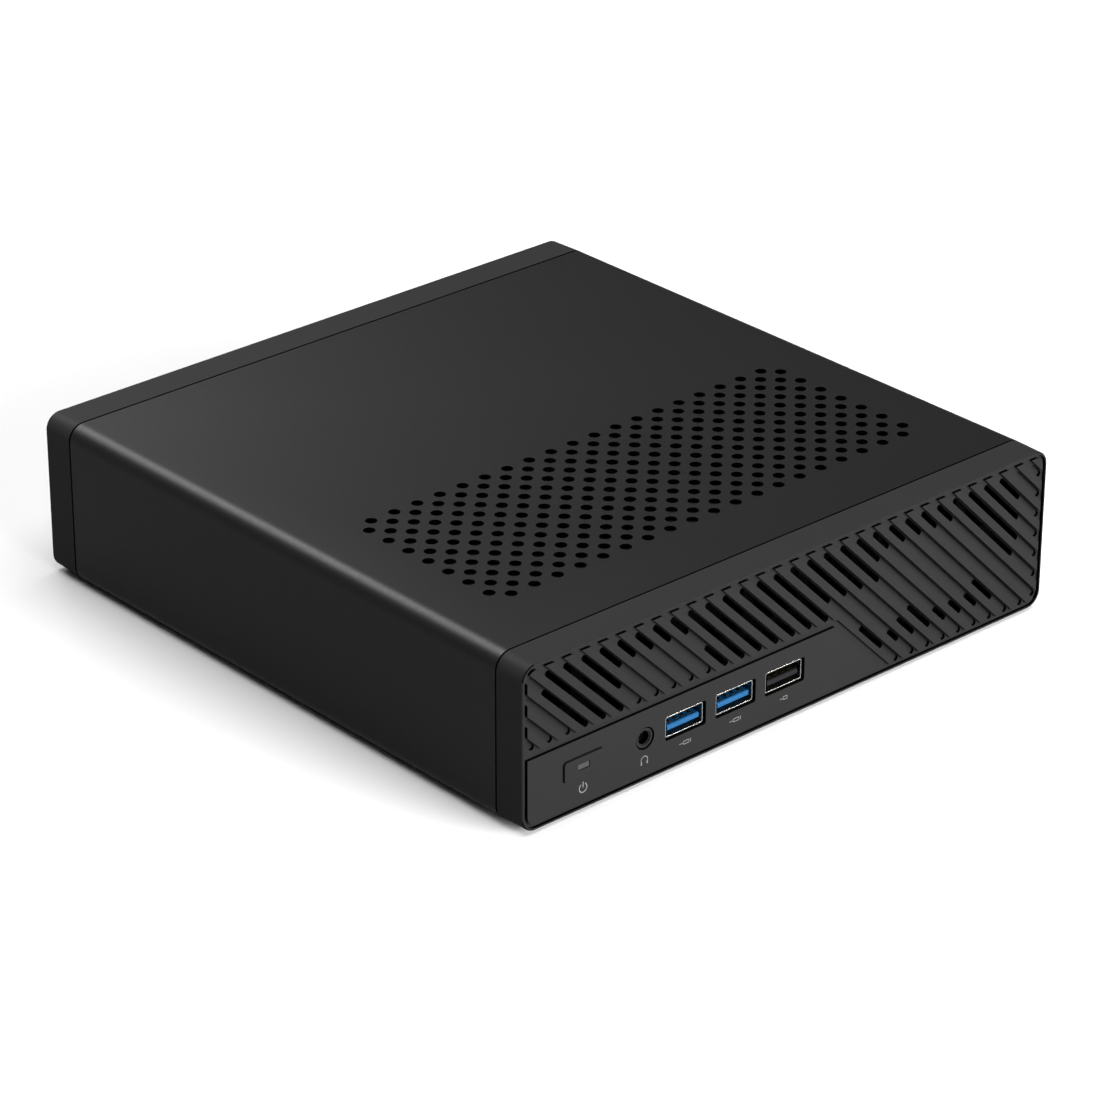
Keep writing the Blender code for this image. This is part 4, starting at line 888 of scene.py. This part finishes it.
def draw_front_sockets():
    for name in FRONT_USB:
        usb_parts(name, -1)
    low, high = cad("audio_jack")
    at = face_on("audio_jack")
    made = extrusion("audio_jack_body", centred(at, (6.4, high.z - low.z)),
                     BOARD[0].y + GAP, high.y)
    join(made, circle(at, 5.5, 64), low.y, BOARD[0].y + 0.6)
    cut(made, circle(at, 3.7, 48), low.y - 1, high.y - 1)
    cut(made, circle(at, 4.3, 48), low.y - 1, low.y + 0.35)
    fit(made, "moulded_abs", ["audio_jack"], "dark_plastic", 0.12)
    # Painted shade deep in the jack and on the walls of its bore.
    tint(made, "painted_shade_abs", lambda where, normal: where.y > low.y + 0.5 or (
        abs(normal.y) < 0.85 and math.hypot(where.x - at[0], where.z - at[1]) < 1.95))

    def spring(work):
        prism(work, circle(at, 3.66, 48), low.y + 2.4, low.y + 3.2, "Y", [circle(at, 3.3, 48)])
        slab(work, (at[0], low.y + 6.5), (1.0, 5.0), at[1] - 1.85, at[1] - 1.45, 0.1)

    piece("audio_jack_contacts", spring, "tinned_metal")


def draw_rear_sockets():
    for name in ("rear_1", "rear_2"):
        usb_parts(name, 1)
    draw_power_inlet()
    draw_video_socket()
    for draw, name in ((draw_c_socket, "usb_c_socket"), (draw_network_socket, "network_socket")):
        for number in (1, 2):
            draw(f"{name}_{number}")


def draw_power_inlet():
    """A square block, a round bore and a hollow centre pin."""
    low, high = cad("dc_inlet")
    at, mouth = face_on("dc_inlet"), high.y
    made = new_object("dc_inlet_body", lambda work: block(work, low, high))
    cut(made, circle(at, 6.4, 48), mouth - 9.5, mouth + 1)
    cut(made, circle(at, 7.6, 48), mouth - 0.5, mouth + 1)
    fit(made, "filled_nylon", ["dc_inlet"], "dark_plastic", 0.15)
    pin = [(0, mouth - 9.4), (1.2, mouth - 9.4), (1.2, mouth - 1.9), (0.8, mouth - 1.5),
           (0, mouth - 1.5)]
    piece("dc_inlet_pin", lambda work: lathe(work, pin, at, "Y", 24),
          "nickel_steel")


def draw_video_socket():
    """A stepped shell, a tongue and its row of contacts."""
    low, high = cad("video_socket")
    x, z = face_on("video_socket")

    def stepped(grow):
        w, h = 7.5 + grow, 2.85 + grow
        return [(x - w + 1.8, z - h), (x + w - 1.8, z - h), (x + w, z - h + 1.8), (x + w, z + h),
                (x - w, z + h), (x - w, z - h + 1.8)]

    made = extrusion("video_socket_shell", stepped(0), low.y, high.y)
    cut(made, stepped(-0.45), high.y - 10, high.y + 1)
    fit(made, "nickel_steel", ["video_socket"], "bright_steel", 0.1)
    socket_tongue("video_socket", (x, z + 0.3), (11, 0.9), (high.y - 9.9, high.y - 1), 0.1)
    row_contacts("video_socket", x, high.y, z - 0.18, 9, 1.0, -1)


def draw_c_socket(name):
    """A round-ended shell with a thin tongue."""
    low, high = cad(name)
    x, z = face_on(name)
    ends = ((x - 2.85, z), (x + 2.85, z))
    made = extrusion(name + "_shell", slot_outline(*ends, 3.3, 12), low.y, high.y)
    cut(made, slot_outline(*ends, 2.7, 12), high.y - 7, high.y + 1)
    fit(made, "nickel_steel", [name], "bright_steel", 0.07)
    socket_tongue(name, (x, z), (6.6, 0.7), (high.y - 6.9, high.y - 0.6), 0.08)
    row_contacts(name, x, high.y, z + 0.36, 6, 0.9, 1)


def socket_tongue(name, at, size, ends, bevel):
    """The thin polymer tongue of a socket."""
    (x, z), (wide, tall), (near, far) = at, size, ends
    piece(name + "_tongue", lambda work: slab(
        work, (x, (near + far) / 2), (wide, far - near), z - tall / 2, z + tall / 2, bevel),
        "filled_nylon", slot="dark_plastic")


def row_contacts(name, x, mouth, z, count, pitch, side):
    """Thin contacts on one face of a tongue."""
    low, high = sorted((z, z + side * 0.06))
    piece(name + "_contacts", lambda work: [
        slab(work, (cx, mouth - 3.75), (0.36, 4.5), low, high, 0.02)
        for cx in row(count, pitch, x)], "gold_contact")


def draw_network_socket(name):
    """A shielded block, a polymer liner with eight contact springs, and two light windows."""
    low, high = cad(name)
    x, base, mouth = face_on(name)[0], low.z + 3.5, high.y

    def plug_space(grow, depth):
        """The space of a plug and that of its latch, each an outline and its two ends."""
        plug = rounded((x - 5.9 - grow, base - grow), (x + 5.9 + grow, base + 8.2 + grow), 0)
        latch = rounded((x - 3 - grow, base - 2 - grow), (x + 3 + grow, base + 0.3), 0)
        return (plug, mouth - depth, mouth + 1), (latch, mouth - depth + 1, mouth + 1)

    made = new_object(name + "_shield", lambda work: block(work, low, high))
    for space in plug_space(0.45, 13.9):
        cut(made, *space)
    fit(made, "zinc_sheet", [name], "zinc_sheet", 0.12)
    plug, latch = plug_space(0.43, 13.8)
    liner = extrusion(name + "_liner", *plug)
    join(liner, *latch)
    for space in plug_space(0.0, 13.2):
        cut(liner, *space)
    cut(liner, rounded((x - 8, low.z), (x + 8, high.z), 0), mouth - 0.4, mouth + 2)
    fit(liner, "filled_nylon", slot="dark_plastic", softness=0.05)

    def springs(work):
        profile = [(mouth - y, base + z) for y, z in (
            (13.1, 7.9), (4, 7.9), (10, 4.6), (10.4, 4.6), (5, 7.6), (13.1, 7.6))]
        for cx in row(8, 1.02, x):
            prism(work, profile, cx - 0.18, cx + 0.18, "X")

    piece(name + "_springs", springs, "gold_contact")

    def windows(work, grow=0.0, proud=0.0):
        for cx in (x - 6.4, x + 6.4):
            block(work, (cx - 1.1 - grow, mouth - 0.6 - grow, high.z - 1.9 - grow),
                  (cx + 1.1 + grow, mouth + proud, high.z - 0.5 + grow), 0.0 if grow else 0.15)

    combine(made, lambda work: windows(work, 0.05, 1.0))
    piece(name + "_windows", windows, "light_diffuser")


def draw_rear_panel():
    refinish("rear_paint", "rear_shield")
    low, high = cad("release_latch")
    x, z = at = face_on("release_latch")
    inner = SHIELD[0].y - GAP
    made = extrusion("release_latch_pad", centred(at, (14, 6), 0.8), SHIELD[1].y + GAP, high.y)
    join(made, centred(at, (9, 3)), inner - 0.6, SHIELD[1].y + 0.6)
    join(made, centred(at, (14, 6)), low.y, inner)
    combine(made, lambda work: [
        prism(work, centred((x, line), (10, 0.42), 0.2, 4), high.y - 0.35, high.y + 1)
        for line in row(5, 1.0, z)])
    fit(made, "filled_nylon", ["release_latch"], "dark_plastic", 0.1, body="release_latch")


# ------------------------------------------------------------------ inside

def draw_chassis_sheets():
    refinish("zinc_sheet", "tray")
    # Painted shade: the front shield is painted near black so that the slots look dark.
    refinish("shield_painted_shade", "front_shield")
    for name in ("board_screw_1", "board_screw_2", "board_screw_3", "board_screw_4", "ssd_screw"):
        low, high = cad(name)
        at, top = plan(name), high.z
        profile = [(0, top), (1.9, top), (2.45, top - 0.25), (2.7, top - 0.8), (2.7, top - 1.5),
                   (1.3, top - 1.5), (1.3, low.z), (0, low.z)]
        made = new_object(name + "_head", lambda work: lathe(work, profile, at, "Z", 32))
        combine(made, lambda work: [prism(work, centred(at, size), top - 0.8, top + 1, "Z")
                                    for size in ((2.6, 0.6), (0.6, 2.6))])
        fit(made, "nickel_steel", [name], "bright_steel", 0.06)


def scatter(work, randomness, x0, y0, x1, y1):
    """Small chip capacitors spread over a zone of the board."""
    for _ in range(26):
        at = randomness.uniform(x0, x1), randomness.uniform(y0, y1)
        size = (1.6, 0.8) if randomness.random() < 0.5 else (0.8, 1.6)
        slab(work, at, size, BOARD[1].z, BOARD[1].z + 0.7, 0.05)


def draw_mainboard():
    refinish("solder_mask", "mainboard")
    refinish("filled_nylon", "power_switch")
    z, left = BOARD[1].z, BOARD[0].x + 2
    ssd, bay = cad("ssd_module"), cad("memory_module_1")[1].x + 3
    rear_edge = cad("network_socket_1")[0].y - 2
    # Each header: its first pin, and how many it has.
    headers = ((cad("blower_case")[1].x + 1.6, -74, 4), (-72, 68, 2), (bay + 18, 58, 9))
    pins = [(x + i * 2.0, y) for x, y, count in headers for i in range(count)]
    randomness = random.Random(7)
    zones = ((bay + 2, -70, 86, -50), (bay + 2, -30, 86, 30), (bay + 2, 44, 86, 56),
             (-60, -74, -20, -69), (14, 32, 50, 46), (-12, 54, 20, 70),
             (ssd[0].x, -76, ssd[1].x, -68))

    def chips(work):
        for x, y, wide, deep, tall in (
                (bay + 8, -40, 14, 14, 1.0), (bay + 6, -8, 9, 9, 0.9), (bay + 20, 6, 7, 10, 1.0),
                (bay + 10, 36, 12, 12, 1.1), (bay + 24, -60, 6, 6, 0.9), (3, -76, 8, 6, 1.0),
                (-64, -76, 6, 6, 0.9), (24, 52, 9, 9, 1.0), (-5, 62, 7, 7, 1.0)):
            slab(work, (x, y), (wide, deep), z + 0.1, z + tall, 0.12)

    def legs(work):
        for x, y, wide in ((bay + 8, -40, 14), (bay + 10, 36, 12), (24, 52, 9)):
            for offset, side in product(row(wide, 1.0), (-1, 1)):
                edge = side * (wide / 2 + 0.4)
                slab(work, (x + offset, y + edge), (0.4, 1.0), z, z + 0.25)
                slab(work, (x + edge, y + offset), (1.0, 0.4), z, z + 0.25)

    def chokes(work):
        for i in range(6):
            slab(work, (left + 3.4, -58 + i * 9.5), (6.8, 6.8), z + 0.3, z + 3.6, 0.5)
        for i in range(3):
            slab(work, (29.5 + i * 9, rear_edge - 5.5), (7, 7), z + 0.3, z + 3.2, 0.5)

    def cans(work):
        profile = [(radius, z + height) for radius, height in (
            (0, 6.4), (2.4, 6.4), (2.6, 6.2), (2.75, 5.6), (2.75, 1.4), (2.5, 1.1), (2.75, 0.8),
            (2.75, 0.2), (0, 0.2))]
        beside = [(left + 3.5, y) for y in (8, 17, 26)]
        for at in beside + [(x, 63) for x in (56, 64, 72)]:
            lathe(work, profile, at, "Z", 28)

    def ceramics(work):
        for zone in zones:
            scatter(work, randomness, *zone)

    for name, draw, material in (
            ("board_chips", chips, "chip_compound"),
            ("board_chip_legs", legs, "tinned_metal"),
            ("board_chokes", chokes, "ferrite"),
            ("board_capacitor_cans", cans, "tinned_metal"),
            ("board_headers", lambda work: [
                slab(work, at, (1.9, 3.2), z, z + 3.0, 0.15) for at in pins], "filled_nylon"),
            ("board_header_pins", lambda work: [
                slab(work, at, (0.5, 0.5), z + 2.9, z + 5.5, 0.08) for at in pins], "gold_contact"),
            ("board_ceramics", ceramics, "ceramic")):
        piece(name, draw, material)


def draw_cooling():
    refinish("fin_aluminium", "heatsink")
    refinish("tinned_metal", "processor")
    low, high = cad("blower_case")
    at = plan("blower_rotor")
    outline = rounded((low.x, low.y), (high.x, high.y), 5, 10)
    inner, floor = high.x - BLOWER_WALL, low.z + BLOWER_WALL / 2
    outlet = rounded((inner - 52, at[1]), (inner, high.y + 1), 0)
    made = extrusion("blower_case_shell", outline, low.z, high.z, "Z")
    cut(made, circle(at, inner - low.x, 96), floor, high.z + 1, "Z")
    cut(made, outlet, floor, high.z + 1, "Z")
    fit(made, "filled_nylon", ["blower_case"], "dark_plastic", 0.25)

    base, top = (corner.z for corner in cad("blower_cover"))
    made = extrusion("blower_cover_plate", outline, base, top, "Z", [circle(at, 44, 96)])
    dishes = list(product((low.x + 5, high.x - 5), (low.y + 5, high.y - 5)))
    combine(made, lambda work: [
        prism(work, circle(p, 5, 32), top - 0.6, top + 1, "Z") for p in dishes])
    cut(made, circle(at, 50, 96), top - 0.4, top + 1, "Z", [circle(at, 47, 96)])
    fit(made, "filled_nylon", ["blower_cover"], "dark_plastic", 0.2)
    head = [(0, top - 0.1), (1.5, top - 0.1), (1.9, top - 0.35), (1.9, top - 0.6), (0, top - 0.6)]
    piece("blower_cover_screws", lambda work: [lathe(work, head, p, "Z", 24) for p in dishes],
          "nickel_steel")

    low, high = cad("blower_rotor")
    radius = (high.x - low.x) / 2
    disc = [(0, low.z + 1), (radius, low.z + 1), (radius, low.z), (0, low.z)]
    hub = [(0, high.z), (11, high.z), (12.4, high.z - 0.4), (13, high.z - 1.4),
           (13, low.z + 0.5), (0, low.z + 0.5)]
    blade_count, blade_steps = 22, 4

    def blades(work):
        for i in range(blade_count):
            rows = []
            for k in range(blade_steps + 1):
                share = k / blade_steps
                turn = 2 * math.pi * i / blade_count + math.radians(14) * share ** 1.4
                heading = Vector((math.cos(turn), math.sin(turn)))
                point = Vector(at) + heading * (radius - 8 + 7.8 * share)
                side = Vector((-heading.y, heading.x)) * (0.45 - 0.15 * share)
                rows.append((point - side, point + side))
            loop = [a for a, _ in rows] + [b for _, b in rows[::-1]]
            prism(work, loop, low.z + 0.5, high.z - 1, "Z")

    made = new_object("blower_impeller", lambda work: lathe(work, disc, at, "Z", 96))
    combine(made, lambda work: lathe(work, hub, at, "Z", 64), "UNION")
    combine(made, blades, "UNION")
    fit(made, "filled_nylon", ["blower_rotor"], "dark_plastic", 0.08, body="blower_rotor")


def draw_plug_in_boards():
    modules = ("memory_module_1", "memory_module_2")
    refinish("solder_mask", "ssd_module", *modules, "wireless_card")
    refinish("filled_nylon", "ssd_socket", "memory_socket", "coin_cell_holder")

    def ssd_chips(work):
        low, high = cad("ssd_module")
        for y, deep, wide in ((14, 14, 13), (34, 9, 9), (50, 18, 14), (67, 8, 9)):
            slab(work, (plan("ssd_module")[0], low.y + y), (wide, deep), high.z, high.z + 1.1, 0.12)

    def memory_chips(work):
        for low, high in map(cad, modules):
            for i, k in product(range(4), range(2)):
                slab(work, (low.x + 8.5 + k * 12, low.y + 9.5 + i * 16.8), (9, 11),
                     high.z, high.z + 1.0, 0.1)

    def fingers(work):
        for low, high in map(cad, modules):
            for i in range(60):
                slab(work, (low.x + 1.25, low.y + 3 + i * 1.06), (2.3, 0.7), high.z, high.z + 0.05)

    def latches(work):
        low, high = cad("memory_socket")
        for y in (low.y + 0.8, high.y - 0.8):
            slab(work, (high.x + 3.025, y), (5.95, 1.6), high.z - 1.6, high.z - 0.4, 0.2)

    def can(work):
        low, high = cad("wireless_card")
        top = high.z
        block(work, (low.x + 7, low.y + 2, top), (high.x - 2, high.y - 6, top + 1.4), 0.35)
        plug = [(0, top + 1.3), (0.8, top + 1.3), (1.2, top + 1.0), (1.2, top), (0, top)]
        for x in (low.x + 12, low.x + 19):
            lathe(work, plug, (x, high.y - 3), "Z", 20)

    piece("ssd_chips", ssd_chips, "chip_compound")
    piece("memory_chips", memory_chips, "chip_compound")
    piece("memory_fingers", fingers, "gold_contact")
    piece("memory_latches", latches, "tinned_metal")
    piece("wireless_shield_can", can, "tinned_metal")

    low, high = cad("coin_cell")
    x, y = plan("coin_cell")
    profile = [(0, high.z), (8.4, high.z), (8.9, high.z - 0.25), (9.0, low.z + 1.0),
               (9.6, low.z + 0.7), (10, low.z + 0.5), (10, low.z), (0, low.z)]
    piece("coin_cell_can", lambda work: lathe(work, profile, (x, y), "Z", 64),
          "nickel_steel", ["coin_cell"], "bright_steel")

    def clip_spring(work):
        slab(work, (x, y - 10.35), (4, 0.5), low.z - 1.2, high.z + 0.5, 0.15)
        slab(work, (x, y - 7.8), (4, 5.6), high.z + 0.05, high.z + 0.5, 0.15)

    piece("coin_cell_spring", clip_spring, "tinned_metal")


# ------------------------------------------------------------------ studio

def soft_box(name, at, aim, size, watts):
    """A rectangular soft box that looks at a point."""
    light = bpy.data.lights.new(name, "AREA")
    light.shape, light.size, light.size_y, light.energy = "RECTANGLE", size[0], size[1], watts
    made = bpy.data.objects.new(name, light)
    made.location = at
    made.rotation_euler = (Vector(aim) - Vector(at)).to_track_quat("-Z", "Y").to_euler()
    bpy.context.scene.collection.objects.link(made)
    return made


def flag(light, state, names):
    """Lets a light reach only the named pieces, or keeps it off them."""
    flagged = bpy.data.collections.new(light.name + "_flag")
    for name in names:
        flagged.objects.link(bpy.data.objects[name])
    for entry in flagged.collection_objects:
        entry.light_linking.link_state = state
    light.light_linking.receiver_collection = flagged


def draw_studio():
    scene = bpy.context.scene
    settings = scene.mini_pc_studio
    floor_mesh = bpy.data.meshes.new("studio_floor")
    work = bmesh.new()
    bmesh.ops.create_grid(work, x_segments=4, y_segments=4, size=4.0)
    work.to_mesh(floor_mesh)
    work.free()
    floor = bpy.data.objects.new("studio_floor", floor_mesh)
    scene.collection.objects.link(floor)
    # Matt emulsion on board: an even pale field with no gloss.
    pale = list(settings.floor)
    paint, tree, shader = surface("studio_emulsion", pale, 0.9, Specular_IOR_Level=0.1)
    mottle(tree, shader, *around(400, pale, 0.99, 1.0))
    floor_mesh.materials.append(paint)

    world = bpy.data.worlds.new("studio_room")
    world.use_nodes = True
    room = world.node_tree.nodes["Background"]
    room.inputs["Color"].default_value = (1.0, 1.0, 1.0, 1.0)
    room.inputs["Strength"].default_value = settings.sky
    scene.world = world

    soft_box("back_box", (0.4, 1.9, 1.0), (0, 0, 0), (1.4, 0.7), settings.back_light)
    soft_box("overhead_box", (0, 0, 1.6), (0, 0, 0), (1.8, 1.8), settings.top_light)
    fronts = [
        soft_box("front_box", (0.1, -1.5, 0.55), (0, -0.1, 0.02), (1.2, 0.6), settings.front_light),
        soft_box("low_box", (0.35, -1.2, 0.16), (0, -0.1, 0.02), (1.2, 0.26), settings.low_light)]
    soft_box("side_box", (1.5, 0.1, 0.8), (0, 0, 0.02), (1.0, 0.8), settings.side_light)
    edge = soft_box("edge_box", (-0.15, 1.06, 1.25), (-0.09, 0, 0.048), (0.9, 0.5),
                    settings.edge_light)
    # Flags keep the edge box off the floor, so that it only draws the line along the sleeve.
    flag(edge, "INCLUDE", ("sleeve_shell", "rear_collar_band", "front_bezel_moulding"))
    # Flags keep the front boxes off the sleeve, whose top would show them as a sheen from behind.
    for box in fronts:
        flag(box, "EXCLUDE", ("sleeve_shell", "rear_collar_band"))

    lens = bpy.data.cameras.new("camera")
    lens.lens, lens.sensor_width = 145.144, 36.0
    lens.clip_start, lens.clip_end = 0.05, 20.0
    camera = bpy.data.objects.new("camera", lens)
    turns = ((-41.8971, "Z"), (63.2682, "X"), (0.0998, "Z"))
    heading, tilt, roll = (Matrix.Rotation(math.radians(angle), 4, axis) for angle, axis in turns)
    scene.collection.objects.link(camera)
    camera.matrix_world = Matrix.Translation((-0.7231, -0.80871, 0.55832)) @ heading @ tilt @ roll
    scene.camera = camera
    scene.view_settings.view_transform = "Standard"


# ------------------------------------------------------------------ add-on

def operator(name, label, text, draw):
    """An operator that runs one drawing function."""
    def execute(self, context):
        if not FINISH:
            make_finishes()
        draw()
        return {"FINISHED"}

    return type(f"MINIPC_OT_{name}", (bpy.types.Operator,), {
        "bl_idname": f"minipc.{name}", "bl_label": label, "__doc__": text, "execute": execute})


OPERATORS = tuple(operator(*entry) for entry in (
    ("sleeve", "Sleeve", "Build the perforated metal sleeve", draw_sleeve),
    ("feet", "Feet", "Build the four rubber feet", draw_feet),
    ("rear_collar", "Rear collar", "Build the plastic band round the rear", draw_rear_collar),
    ("front_bezel", "Front bezel", "Build the ribbed front moulding", draw_front_bezel),
    ("power_button", "Power button", "Build the button and its lens", draw_power_button),
    ("symbols", "Symbols", "Print the pictograms on the front", draw_symbols),
    ("front_sockets", "Front sockets", "Build the USB and audio sockets", draw_front_sockets),
    ("rear_sockets", "Rear sockets", "Build the rear panel's sockets", draw_rear_sockets),
    ("rear_panel", "Rear panel", "Finish the rear panel and its latch", draw_rear_panel),
    ("chassis_sheets", "Chassis", "Finish the tray, shield and screws", draw_chassis_sheets),
    ("mainboard", "Mainboard", "Populate the main board", draw_mainboard),
    ("cooling", "Cooling", "Build the blower and finish the heatsink", draw_cooling),
    ("plug_in_boards", "Boards", "Detail memory, storage and radio", draw_plug_in_boards),
    ("studio", "Studio", "Add the floor, the lights and the camera", draw_studio),
))


class MINIPC_PT_panel(bpy.types.Panel):
    """Lists the pieces and their settings."""

    bl_label = "Mini PC"
    bl_space_type = "VIEW_3D"
    bl_region_type = "UI"
    bl_category = "Mini PC"

    def draw(self, context):
        for group in ("mini_pc_shell", "mini_pc_colours", "mini_pc_studio"):
            settings = getattr(context.scene, group)
            box = self.layout.box()
            for name in settings.__annotations__:
                box.prop(settings, name)
        for kind in OPERATORS:
            self.layout.operator(kind.bl_idname)


GROUPS = (("mini_pc_shell", ShellSizes), ("mini_pc_colours", FinishColours),
          ("mini_pc_studio", StudioSettings))


def register():
    for name, group in GROUPS:
        bpy.utils.register_class(group)
        setattr(bpy.types.Scene, name, PointerProperty(type=group))
    for kind in (*OPERATORS, MINIPC_PT_panel):
        bpy.utils.register_class(kind)


def unregister():
    for kind in (MINIPC_PT_panel, *OPERATORS[::-1]):
        bpy.utils.unregister_class(kind)
    for name, group in GROUPS[::-1]:
        delattr(bpy.types.Scene, name)
        bpy.utils.unregister_class(group)


def main():
    register()
    for kind in OPERATORS:
        getattr(bpy.ops.minipc, kind.bl_idname.split(".")[1])()


if __name__ == "__main__":
    main()
